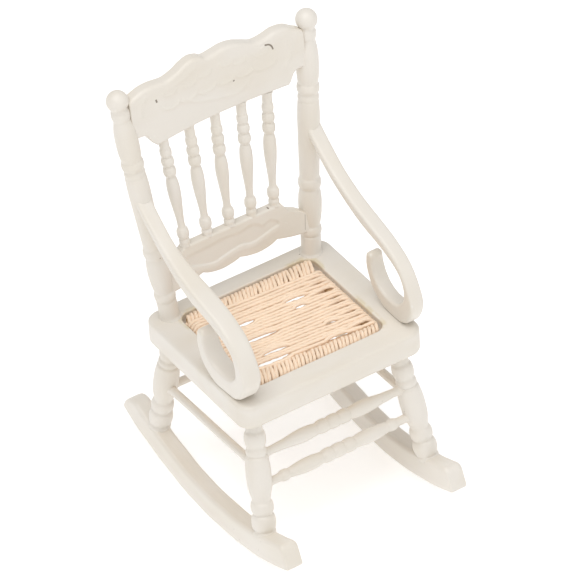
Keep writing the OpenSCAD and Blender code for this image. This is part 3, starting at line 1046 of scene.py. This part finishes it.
def swag(x: float, z: float, half: float, sag: float, height: float) -> Stroke:
    """Hanging swag about x, with its lowest point at z and its ends turned up by sag."""
    return Stroke(((x - half, z + sag), (x - 0.72 * half, z + 0.3 * sag), (x, z),
                   (x + 0.72 * half, z + 0.3 * sag), (x + half, z + sag)), 0.4, height)


@dataclass
class CarvedPlate:
    """A slim back rail with a shaped outline and a shallow carving on its front."""

    name: str
    node: str
    back: Back
    thick: float
    under: Points
    over: Points
    carving: tuple[Stroke, ...]
    lip: tuple[tuple[float, float], ...] = ()
    roof: tuple[tuple[float, float], ...] = ()
    columns: int = 330
    rows: int = 100
    top_edge: float = 0.85
    edge: float = 0.45
    panel_depth: float = 0.24
    lip_height: float = 0.1

    @staticmethod
    def crest(back: Back) -> "CarvedPlate":
        """The crest rail, with a wavy top and stepped lower corners."""
        b = back.crest_base
        shoulder = chain([[17.3, b + 0.4], [17.7, b + 1.2], [18.1, b + 2]],
                         curve([[18.6, b + 2.5], [19.4, b + 2.8], [21.6, b + 2.9]]))
        under = chain(shoulder[::-1] * [-1, 1],
                      curve([[-16.2, b - 0.7], [-8, b + 0.2], [0, b + 0.5], [8, b + 0.4],
                             [16.8, b - 0.1]]), shoulder)
        over = curve([[-22.3, 55.8], [-20.2, 56.8], [-18.2, 57.5], [-16, 57.75], [-14, 57.6],
                      [-12.1, 57.5], [-9.7, 58.2], [-7.6, 59.3], [-5.5, 59.95], [-3.6, 59.6],
                      [-2.1, 58.9], [0.4, 59.2], [2.6, 59.5], [5.2, 59.2], [7.8, 58.2],
                      [10, 57.35], [12.4, 57.45], [15.2, 58.05], [18, 57.7], [20.2, 56.4],
                      [22.3, 55.2]])
        lower = [swag(x, z, h, 0.9, 0.17) for x, z, h in
                 ((-11.9, 50.8, 1.9), (-7.7, 51.0, 2.1), (-3.1, 51.1, 2.2), (1.8, 51.1, 2.0),
                  (6.3, 51.0, 2.1), (11.4, 50.6, 2.6))]
        upper = [swag(x, z, h, 0.8, 0.12) for x, z, h in
                 ((-11.9, 54.1, 1.6), (-7.1, 54.1, 1.7), (-3.2, 54.9, 1.6), (2.4, 55.2, 1.5),
                  (5.4, 54.3, 1.6), (10.6, 54.1, 1.8))]
        drape = Stroke(((-8.2, 51.3), (-6.4, 50.1), (-2.7, 48.9), (1, 48.1), (3.7, 47.7),
                        (6, 48.5), (7.6, 49.9)), 0.45, 0.16)
        ends = (Stroke(((16.4, 49.3), (17.8, 51), (18.4, 53), (18, 54.8)), 0.5, 0.14),
                Stroke(((-17.9, 55.8), (-19, 54.2), (-19.2, 52)), 0.55, 0.14),
                Stroke(((-12.2, 55.6), (-9.2, 56.1), (-5.4, 57.9)), 0.6, 0.12),
                Stroke(((11.2, 55.7), (12.5, 56), (13.4, 55.3), (13.8, 54.3)), 0.35, 0.15))
        return CarvedPlate("crest_rail_carved", "crest_rail", back, back.crest_thick, under,
                           over, (*lower, *upper, drape, *ends))

    @staticmethod
    def lower(back: Back) -> "CarvedPlate":
        """The lower rail that the spindles stand in."""
        right = chain(curve([[0, 7.4], [1.6, 6.9], [4.6, 6.5], [7.6, 6.9], [9.5, 7.7]]),
                      curve([[9.6, 7.65], [11, 7.2], [14.5, 6.4], [18.1, 6]]))
        under = chain(right[:0:-1] * [-1, 1], right)
        over = chain(curve([[-18.5, 10.4], [-17.3, 11.4], [-15.5, 12.8], [-14.6, 14.6],
                            [-13.2, 16]]), [[-12.4, 16.1], [10.7, 16.1]],
                     curve([[11.4, 16], [12.2, 14.8], [13, 13.7], [15.3, 12.5], [17.1, 11.1],
                            [18.5, 10.1]]))
        lip = ((-13.5, 10.9), (-10.6, 9.9), (-6.7, 8.9), (-4.4, 9.3), (-1.5, 9.9), (0.8, 10.1),
               (2.6, 9.6), (4.2, 9.6), (6.5, 10.2), (8.5, 10.7), (10.6, 11.1))
        roof = ((-13.5, 13.6), (-10.2, 13.8), (-6.4, 14), (-4.5, 14.2), (-1.9, 14.2),
                (0.6, 13.9), (3.2, 14.5), (5, 13.9), (6.3, 13), (8, 13.6), (9.6, 12.8),
                (10.8, 11.4))
        return CarvedPlate("lower_rail_carved", "lower_rail", back, back.rail_thick, under, over,
                           (), lip, roof, top_edge=0.5)

    def relief(self, u: np.ndarray, z: np.ndarray) -> np.ndarray:
        """How far the carving stands out of the front face, or behind it where negative.

        Args:
            u: Distances across, from the middle.
            z: Heights.

        Returns:
            The carving's height in millimetres.
        """
        out = np.zeros(u.shape)
        for stroke in self.carving:
            out = np.maximum(out, stroke.relief(u, z))
        if self.lip:
            lip, roof = curve(self.lip), curve(self.roof)
            floor_z = np.interp(u, lip[:, 0], lip[:, 1])
            roof_z = np.interp(u, roof[:, 0], roof[:, 1])
            ends = smooth(u, -13.6, -12.4) * (1 - smooth(u, 9.8, 10.8))
            panel = smooth(z - floor_z, -0.05, 0.5) * smooth(roof_z - z, -0.3, 1.1) * ends
            round_lip = np.exp(-((z - floor_z + 0.75) / 0.7) ** 2) * (1 - smooth(u, 9, 12))
            out = (out - self.panel_depth * panel
                   + self.lip_height * round_lip * smooth(u, -16, -13))
        return out

    def build(self) -> None:
        """Shows the plate, skinned from rings that go round it one column after another."""
        reach = [max(self.under[0, 0], self.over[0, 0]), min(self.under[-1, 0], self.over[-1, 0])]
        u = np.linspace(*reach, self.columns)
        low = np.interp(u, self.under[:, 0], self.under[:, 1]) + self.edge
        top = np.interp(u, self.over[:, 0], self.over[:, 1])
        front, rear = self.back.rail_front, self.back.rail_front + self.thick
        a = np.radians(np.linspace(0, 90, 8))
        big, small = self.top_edge, self.edge
        ring = [(front, low + (top - big - low) * t) for t in np.linspace(0, 1, self.rows)]
        ring += [(front + big * (1 - math.cos(t)), top - big + big * math.sin(t)) for t in a[1:]]
        ring += [(rear - small + small * math.sin(t), top - small + small * math.cos(t))
                 for t in a]
        ring += [(rear, top - small + (low - top + small) * t) for t in np.linspace(0, 1, 10)[1:-1]]
        ring += [(rear - small + small * math.cos(t), low - small * math.sin(t)) for t in a]
        ring += [(front + small * (1 - math.sin(t)), low - small * math.cos(t)) for t in a[:-1]]
        y = np.array([np.full_like(u, p[0]) for p in ring])
        z = np.array([p[1] + 0 * u for p in ring])
        across = np.broadcast_to(u, z.shape)
        raised = self.relief(across[:self.rows], z[:self.rows])
        fade = smooth(np.minimum(z[:self.rows] - low, top - big - z[:self.rows]), -0.05, 0.5)
        y[:self.rows] -= raised * fade
        rings = np.stack([across, y, z], axis=-1).transpose(1, 0, 2)
        out = Skin()
        out.loft(rings, rings[..., [1, 2, 0]])
        show(out, self.name, self.back.space, PAINT, [self.node], self.nicks_and_seam_shadow_places())

    def nicks_and_seam_shadow_places(self) -> Sequence[Points]:
        """Small dark marks on the front, each as points in millimetres: nicked paint, and on the
        lower rail a painted shadow along its seam with the post.
        """
        front = self.back.rail_front
        if self.node == "crest_rail":
            dark_mark = curve([(12.1, 56.1), (12.9, 55.9), (13.5, 55.3), (13.8, 54.5)], 6)
            dots = np.array([(-15.3, 54.2), (-15.2, 53.8), (3.6, 50.9)])
            flat = np.vstack([dark_mark, dots])
            return np.column_stack([flat[:, 0], np.full(len(flat), front), flat[:, 1]])
        # painted shadow: a dark line down the lower rail's front where it meets the post
        z = np.linspace(7.2, 12.4, 24)
        joint = self.back.post_x + z * math.tan(math.radians(self.back.splay)) - 2.3
        seam = np.column_stack([joint, np.full(len(z), front - 0.21), z])
        return np.vstack([seam, [[8.3, front + 0.5, 16], [8.2, front + 0.8, 16.1]]])


@dataclass(frozen=True)
class Bend:
    """How an arm is bent out of its plain shape, in millimetres.

    Swell widens its front, sway and tip lean the front and the scroll's end towards the
    middle of the chair, and thicken adds to its thickness.
    """

    swell: float = 0.0
    sway: float = 0.0
    tip: float = 0.0
    thicken: float = 0.0


@dataclass
class Arms:
    """Two bent arms, each from its post down to a scroll on the seat board."""

    space: Space
    middle_x: float = 21.4
    width: float = 3.4
    edge: float = 0.75
    right: Bend = Bend(tip=0.5)
    left: Bend = Bend(swell=1.2, sway=1.1, thicken=0.6)
    outside: tuple[tuple[float, float], ...] = (
        (19.2, 34.1), (16.8, 31.6), (12.5, 28.1), (7.8, 24.9), (1.5, 22.1), (-5.2, 20.1),
        (-10, 18.6), (-12.8, 17.3), (-15.3, 15.8), (-17.4, 13.7), (-19.2, 10.7), (-20.4, 7.4),
        (-20, 4.6), (-18.4, 1.8), (-16.2, 0.25), (-13.8, 0), (-11, 0.03), (-9.6, 0.35),
        (-7.7, 1.5), (-5.8, 3.4), (-4.5, 6), (-3.8, 8.8), (-3.9, 11.4))
    inside: tuple[tuple[float, float], ...] = (
        (19.2, 31.7), (16.4, 29), (12.5, 25.5), (8.9, 22.9), (3.3, 20.1), (-2.2, 18),
        (-7.7, 16.6), (-11, 15.5), (-13.4, 14.5), (-15.6, 13), (-16.9, 11), (-17.3, 9),
        (-16.8, 6.8), (-15.2, 4.9), (-14.3, 4.3), (-13.2, 4), (-11, 3.9), (-9.2, 4.4),
        (-7.7, 5.5), (-6.6, 7.2), (-6.05, 9.2), (-5.95, 10.5), (-6, 11.4))

    def section(self, half: float) -> Points:
        """Ring of an arm's cross-section, in shares of its half thickness and half width."""
        return rounded(1, 1, min(self.edge / half, 0.95), 2 * self.edge / self.width, 7)

    def skin(self, bend: Bend) -> Skin:
        """Skin of a right-hand arm.

        Args:
            bend: How it differs from its plain shape.

        Returns:
            The arm's skin.
        """
        out_line, in_line = curve(self.outside, 8), curve(self.inside, 8)
        middle = (out_line + in_line) / 2
        half = (out_line - in_line) / 2
        far = np.concatenate([[0], np.cumsum(np.linalg.norm(np.diff(middle, axis=0), axis=1))])
        full = far[-1]
        bulge = smooth(far, 0.2 * full, 0.62 * full) * (1 - smooth(far, 0.76 * full, 0.97 * full))
        wide = smooth(far, 0.15 * full, 0.4 * full) * (1 - 0.3 * smooth(far, 0.8 * full, full))
        bulk = wide * (1 - smooth(far, 0.66 * full, 0.72 * full)
                       + smooth(far, 0.76 * full, 0.84 * full))
        reach = np.linalg.norm(half, axis=1)
        grown = (bulk * bend.thicken / 2 / reach)[:, None]
        middle, half = middle - half * grown, half * (1 + grown)
        inward = bend.sway * bulge + bend.tip * smooth(far, 0.8 * full, full)
        widths = (self.width + bend.swell * wide) / 2
        centres = self.middle_x - inward + 0.04 * np.sin(far * 0.2)
        rings, grain = [], []
        for m, h, s, width, centre in zip(middle, half, far, widths, centres):
            ring = self.section(float(np.linalg.norm(h)))
            rings.append(np.column_stack([centre + ring[:, 1] * width, m + ring[:, :1] * h]))
            grain.append(np.column_stack([ring[:, 0] * 1.3, ring[:, 1] * 1.7,
                                          np.full(len(ring), s)]))
        ahead = middle[-1] - middle[-2]
        ahead /= np.linalg.norm(ahead)
        ring = self.section(float(np.linalg.norm(half[-1])))
        for t in np.radians([25, 45, 62, 76, 86]):
            shrink = math.cos(t)
            place = middle[-1] + ahead * math.sin(t) + ring[:, :1] * half[-1] * shrink
            width = widths[-1] * (0.45 + 0.55 * shrink)
            rings.append(np.column_stack([centres[-1] + ring[:, 1] * width, place]))
            grain.append(grain[-1] + [0, 0, 0.2])
        out = Skin()
        out.loft(np.array(rings), np.array(grain))
        return out

    def build(self) -> None:
        """Shows both arms, each with its own bend."""
        for side, bend in ((Side.RIGHT, self.right), (Side.LEFT, self.left)):
            node = f"arm_{side.word}"
            show(self.skin(bend).on(side), f"{node}_bent", self.space, PAINT, [node])


@dataclass(frozen=True)
class Slit:
    """A narrow place where the strands part: its ends, its line and its width."""

    start: float
    end: float
    y: float
    width: float


@dataclass
class WovenSeat:
    """The cord panel: long strands wound across, with short turns along front and rear."""

    space: Space
    half_w: float = 16.6
    half_d: float = 14.6
    corner: float = 2.3
    cord: float = 0.44
    top_z: float = -0.22
    under_z: float = -1.93
    skew: float = -0.065
    strands: int = 22
    first_y: float = -10.5
    pitch: float = 0.995
    bundles: tuple[int, ...] = (1, 3, 2, 2, 2, 2, 3, 3, 2, 2)
    bundle_gap: float = 0.85
    slits: tuple[Slit, ...] = (
        Slit(-9.4, -4.2, 3.9, 1.45), Slit(-10.6, -2.2, -1.75, 1.15),
        Slit(-9.8, -3.0, -7.1, 1.15), Slit(-13.4, -4.3, -9.9, 1.3),
        Slit(3.8, 9.4, 4.7, 1.2), Slit(4.5, 7.8, 2.0, 1.0), Slit(6.8, 9.8, -6.4, 0.85),
        Slit(4.0, 9.6, -11.2, 0.95))
    sight: tuple[float, float] = (0.64, 1.05)
    lower_shift: float = -0.12
    sides: int = 15
    twist: float = 4.6
    valley: float = 0.91
    ply: float = 0.09
    unevenness: float = 0.08
    step: float = 0.3
    seed: int = 5
    flat_half: float = 13.6
    gather_from: tuple[float, float] = (9.5, 13.6)
    gather_to: tuple[float, float] = (14.3, 15.6)
    band_turns: int = 34
    band_half: float = 15.75
    band_inner: tuple[float, float] = (11.45, 10.85)
    band_slant: float = -0.4
    band_return: float = 0.93

    def spread(self, base: float, x: np.ndarray, under: bool) -> np.ndarray:
        """How far a strand is pushed aside by the slits.

        Args:
            base: Where the strand crosses the panel's middle.
            x: Places along the strand.
            under: Whether it is in the lower layer, whose slits lie in line with the upper ones.

        Returns:
            The push at each place.
        """
        push = np.zeros_like(x)
        drop = self.top_z - self.under_z if under else 0.0
        first = self.first_y + (self.lower_shift if under else 0.0)
        for s in self.slits:
            middle = (s.start + s.end) / 2 + drop * self.sight[0]
            half = (s.end - s.start) / 2
            wanted = s.y + drop * self.sight[1] - self.skew * middle
            line = first + self.pitch * (math.floor((wanted - first) / self.pitch) + 0.5)
            shape = np.clip(1 - ((x - middle) / half) ** 2, 0, 1) ** 0.6
            away = base - line
            share = max(0.0, 1 - abs(away) / 2.5)
            push += shape * share * (wanted - line + math.copysign(s.width / 2, away))
        return push

    def strand_y(self, k: int, x: np.ndarray, under: bool, wobble: np.ndarray) -> np.ndarray:
        """Line of strand k: skewed, parted at the slits and gathered beside the right rail."""
        base = self.first_y + self.pitch * k + (self.lower_shift if under else 0.0)
        y = base + self.skew * x + self.spread(base, x, under)
        y = y + 0.05 * np.sin(x * wobble[0] + wobble[1]) + 0.04 * np.sin(x * wobble[2] + wobble[3])
        if not under:
            ends = np.cumsum(self.bundles)
            b = int(np.searchsorted(ends, k, side="right"))
            size = self.bundles[b]
            middle = self.first_y + self.pitch * (ends[b] - size + (size - 1) / 2)
            pull = 1 - (size * self.pitch - self.bundle_gap - 2 * self.cord) / (
                max(size - 1, 1) * self.pitch)
            y = y + (middle - base) * pull * self.gathered(x)
        return y

    def gathered(self, x: np.ndarray) -> np.ndarray:
        """How far the upper strands are drawn together in bundles, from 0 to 1."""
        return smooth(x, *self.gather_from) * (1 - smooth(x, *self.gather_to))

    def middle_line(self) -> tuple[Points, np.ndarray]:
        """Centre line of the long winding, and the strand number at each of its points."""
        rng = np.random.default_rng(self.seed)
        pieces, marks = [], []
        edge = self.half_w - self.cord
        across = np.linspace(-self.flat_half, self.flat_half, 49)
        turn_in = np.array([(14.5, 0.0), (15.1, -0.06), (15.65, -0.3)])
        for k in range(self.strands):
            wobble = rng.uniform([0.2, 0, 0.5, 0], [0.4, 6.3, 0.9, 6.3])
            lift = rng.normal(0, 0.04) + (0.05 if k % 2 else -0.05)
            x = np.concatenate([-turn_in[::-1, 0], across, turn_in[:, 0]])
            sag = (lift * (1 - smooth(np.abs(across), 11, self.flat_half))
                   - 0.10 * (1 - (across / 14) ** 2))
            z = np.concatenate([turn_in[::-1, 1], sag, turn_in[:, 1]]) + self.top_z
            y = self.strand_y(k, x, False, wobble)
            z = z + self.gathered(x) * (0.12 if k % 2 else -0.2)
            pieces.append(np.column_stack([x, y, z]))
            mid_z = (self.top_z + self.under_z) / 2
            side = np.array([[edge - 0.12, y[-1], self.top_z - 0.62],
                             [edge, y[-1], mid_z], [edge - 0.15, y[-1], self.under_z + 0.55]])
            pieces.append(side)
            xu = x[::-1]
            yu = self.strand_y(k, xu, True, wobble[::-1]) + self.pitch * smooth(-xu, 13.0, 16.0)
            zu = self.under_z + np.interp(np.abs(xu), [0, 13, 14.5, 15.65], [0.1, 0.0, 0.0, 0.26])
            pieces.append(np.column_stack([xu, yu, zu]))
            left = side[::-1] * [-1, 1, 1]
            left[:, 1] = yu[-1]
            pieces.append(left)
            marks.extend([k] * (2 * len(x) + 6))
        return np.vstack(pieces), np.array(marks, float)

    def border_line(self, sign: int) -> tuple[Points, np.ndarray]:
        """Centre line of the turns round the front or rear rail."""
        rng = np.random.default_rng(self.seed + 10 + sign)
        pieces, marks = [], []
        span = self.band_half
        for k in range(self.band_turns):
            x0 = -span + 2 * span * (k + 0.5) / self.band_turns
            beyond = max(0.0, abs(x0) - (self.half_w - self.corner))
            reach = self.corner - self.cord
            out_y = self.half_d - self.corner + math.sqrt(max(reach ** 2 - beyond ** 2, 0.05))
            in_y = self.band_inner[sign > 0] + sign * self.skew * x0 * 1.05
            in_y += rng.normal(0, 0.12)
            slant = rng.normal(self.band_slant, 0.05)
            swell = rng.normal(0.0, 0.04)
            keys = [(out_y - 0.02, -1.5), (out_y, -0.85), (out_y - 0.42, -0.32 + swell),
                    (out_y - 1.15, -0.12 + swell), ((out_y + in_y) / 2, -0.10 + swell),
                    (in_y + 0.55, -0.22 + swell), (in_y + 0.12, -0.55),
                    (in_y, -1.1), (in_y + 0.25, -1.7), (in_y + 1.1, self.under_z),
                    (out_y - 0.9, self.under_z), (out_y - 0.25, self.under_z + 0.12)]
            middle_y = (out_y + in_y) / 2
            for j, (y, z) in enumerate(keys):
                over = slant if j < 7 else 0.0
                back = self.band_return * (j / len(keys) - 0.5) * (j > 7)
                x = x0 + over * (middle_y - y) * sign + back
                x = min(max(x, -span), span)
                pieces.append([x + rng.normal(0, 0.02), sign * y, z])
                marks.append(k + 0.5 * sign)
        return np.array(pieces), np.array(marks)

    def twisted(self, line: Points, marks: np.ndarray, out: Skin) -> None:
        """Skins a loosely twisted cord of three plies along a centre line.

        Args:
            line: The centre line's own points.
            marks: A number for each point, which tells strands apart in the finish.
            out: The skin that it is added to.
        """
        fine = even(curve(np.column_stack([line, marks]), 4), self.step, 3)
        path, mark = fine[:, :3], fine[:, 3]
        ahead = np.gradient(path, axis=0)
        ahead /= np.linalg.norm(ahead, axis=1)[:, None]
        normal = np.array([0.0, 0.0, 1.0])
        normals = []
        for d in ahead:
            normal = normal - d * (normal @ d)
            normal = normal / np.linalg.norm(normal)
            normals.append(normal)
        n = np.array(normals)
        b = np.cross(ahead, n)
        far = np.arange(len(path)) * self.step
        theta = np.linspace(0, 2 * math.pi, self.sides, endpoint=False)
        lobe = 0.5 + 0.5 * np.cos(3 * theta)
        uneven = np.random.default_rng(self.seed + len(path)).normal(0, 1, len(path) + 8)
        pulse = 1 + self.unevenness * np.convolve(uneven, np.hanning(9) / 2, "valid")
        spin = 2 * math.pi * far[:, None] / self.twist + theta[None]
        r = self.cord * (self.valley + self.ply * lobe)[None] * pulse[:, None]
        rings = (path[:, None] + r[..., None] * (np.cos(spin)[..., None] * n[:, None]
                                                 + np.sin(spin)[..., None] * b[:, None]))
        grain = np.stack([np.broadcast_to(lobe, r.shape),
                          mark[:, None] * 1.7 + theta[None] * 0.35 + 0 * r,
                          far[:, None] + 0 * r], axis=-1)
        out.loft(rings, grain)

    def build(self) -> None:
        """Shows the cords and the strips that they are wound on."""
        for name, line in (("seat_cord_middle", self.middle_line()),
                           ("seat_cord_front", self.border_line(-1)),
                           ("seat_cord_rear", self.border_line(1))):
            out = Skin()
            self.twisted(*line, out)
            show(out, name, self.space, CORD, ["seat_weave"])
        for name in ("front", "rear", "left", "right"):
            node = f"seat_rail_{name}"
            show(Strip.from_node(node).skin(), f"{node}_strip", Space(Matrix.Identity(4)), WOOD,
                 [node])


@dataclass
class Strip:
    """A flat wooden strip with its arrises taken off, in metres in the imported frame."""

    corners: Points
    soft: float = 0.08
    arris: float = 0.25

    @staticmethod
    def from_node(node: str) -> "Strip":
        """A strip with the eight corners of a CAD node's block."""
        mesh = frame["nodes"][node].data
        co = np.array([v.co for v in mesh.vertices], float)
        return Strip(np.unique(np.round(co, 7), axis=0))

    def skin(self) -> Skin:
        """The strip's skin: a rounded section along its long side."""
        c = self.corners
        centre = c.mean(0)
        axes = np.linalg.svd(c - centre, full_matrices=False)[2]
        size = np.abs((c - centre) @ axes.T).max(0)
        order = np.argsort(-size)
        along, wide, tall = (axes[k] for k in order)
        length, half_w, half_t = (size[k] for k in order)
        if np.cross(along, wide) @ tall < 0:
            tall = -tall
        arris = self.arris * MM
        ring = rounded(half_w, half_t, arris, arris, 4)
        rings, grain = [], []
        for s, inset in ((-1, self.soft), (-0.995, 0), *((k, 0) for k in np.linspace(-0.9, 0.9, 9)),
                         (0.995, 0), (1, self.soft)):
            shrunk = ring * (1 - inset)
            rings.append(centre + along * length * s + shrunk[:, :1] * wide
                         + shrunk[:, 1:] * tall)
            grain.append(np.column_stack([ring / MM, np.full(len(ring), s * length / MM)]))
        out = Skin()
        out.loft(np.array(rings), np.array(grain))
        return out


# ---------- the room ----------


@dataclass(frozen=True)
class Viewpoint:
    """Where the camera stands, as an orbit round a point of the chair."""

    azimuth: float = -33.49
    elevation: float = 43.34
    distance: float = 1.3819
    aim: tuple[float, float, float] = (0.0038, 0.00753, 0.0460)
    lens: float = 406.25

    def build(self) -> None:
        """Makes the camera and sets it as the scene's."""
        a, e = math.radians(self.azimuth), math.radians(self.elevation)
        back = Vector((math.sin(a) * math.cos(e), -math.cos(a) * math.cos(e), math.sin(e)))
        data = bpy.data.cameras.new("camera")
        data.lens = self.lens
        data.sensor_width = 36.0
        data.clip_start, data.clip_end = 0.01, 20.0
        camera = bpy.data.objects.new("camera", data)
        camera.location = Vector(self.aim) + back * self.distance
        camera.rotation_mode = "QUATERNION"
        camera.rotation_quaternion = (-back).to_track_quat("-Z", "Y")
        bpy.context.scene.collection.objects.link(camera)
        bpy.context.scene.camera = camera


@dataclass(frozen=True)
class Studio:
    """Pale floor, white surroundings and soft lights."""

    floor_half: float = 3.0
    floor_tone: float = 0.9
    floor_glow: float = 0.38
    sky: float = 0.51
    key: tuple[float, float, float] = (-0.24, -0.05, 0.97)
    key_power: float = 5.3
    key_size: float = 0.8
    fill: tuple[float, float, float] = (0.25, -0.75, 0.62)
    fill_power: float = 1.35
    fill_size: float = 0.7

    def lamp(self, name: str, place: tuple[float, float, float], power: float,
             size: float) -> None:
        """Adds one soft square lamp that faces the chair."""
        data = bpy.data.lights.new(name, "AREA")
        data.energy = power
        data.size = size
        lamp = bpy.data.objects.new(name, data)
        lamp.location = place
        aim = Vector((0, 0, 0.04)) - Vector(place)
        lamp.rotation_euler = aim.to_track_quat("-Z", "Y").to_euler()
        bpy.context.scene.collection.objects.link(lamp)

    def build(self) -> None:
        """Makes the floor, the surroundings and the lamps."""
        half = self.floor_half
        mesh = bpy.data.meshes.new("floor")
        mesh.from_pydata([(-half, -half, 0), (half, -half, 0), (half, half, 0),
                          (-half, half, 0)], [], [(0, 1, 2, 3)])
        floor = bpy.data.objects.new("floor", mesh)
        bpy.context.scene.collection.objects.link(floor)
        matt = bpy.data.materials.new("floor_matt")
        matt.use_nodes = True
        graph = Graph(matt.node_tree)
        graph.finish(base_color=(self.floor_tone,) * 3 + (1,), roughness=0.9,
                     emission_color=(1.0, 1.0, 1.0, 1.0), emission_strength=self.floor_glow)
        mesh.materials.append(matt)
        world = bpy.data.worlds.new("surroundings")
        world.use_nodes = True
        sky = world.node_tree.nodes["Background"]
        sky.inputs["Color"].default_value = (1.0, 0.995, 0.985, 1)
        sky.inputs["Strength"].default_value = self.sky
        bpy.context.scene.world = world
        self.lamp("key", self.key, self.key_power, self.key_size)
        self.lamp("fill", self.fill, self.fill_power, self.fill_size)
        bpy.context.scene.view_settings.view_transform = "Standard"


def main() -> None:
    """Builds the chair, the studio and the camera, in that order."""
    logging.basicConfig(level=logging.INFO, format="%(name)s: %(message)s", stream=sys.stdout)
    seat = Space.on_seat(PANEL_RISE)
    Viewpoint().build()
    rockers = Rockers(seat)
    rockers.build()
    legs = Legs(seat, rockers)
    legs.build()
    Stretchers(seat, legs).build()
    SeatBoard(seat).build()
    WovenSeat(seat).build()
    Back(seat).build()
    Arms(seat).build()
    Studio().build()


if __name__ == "__main__":
    main()
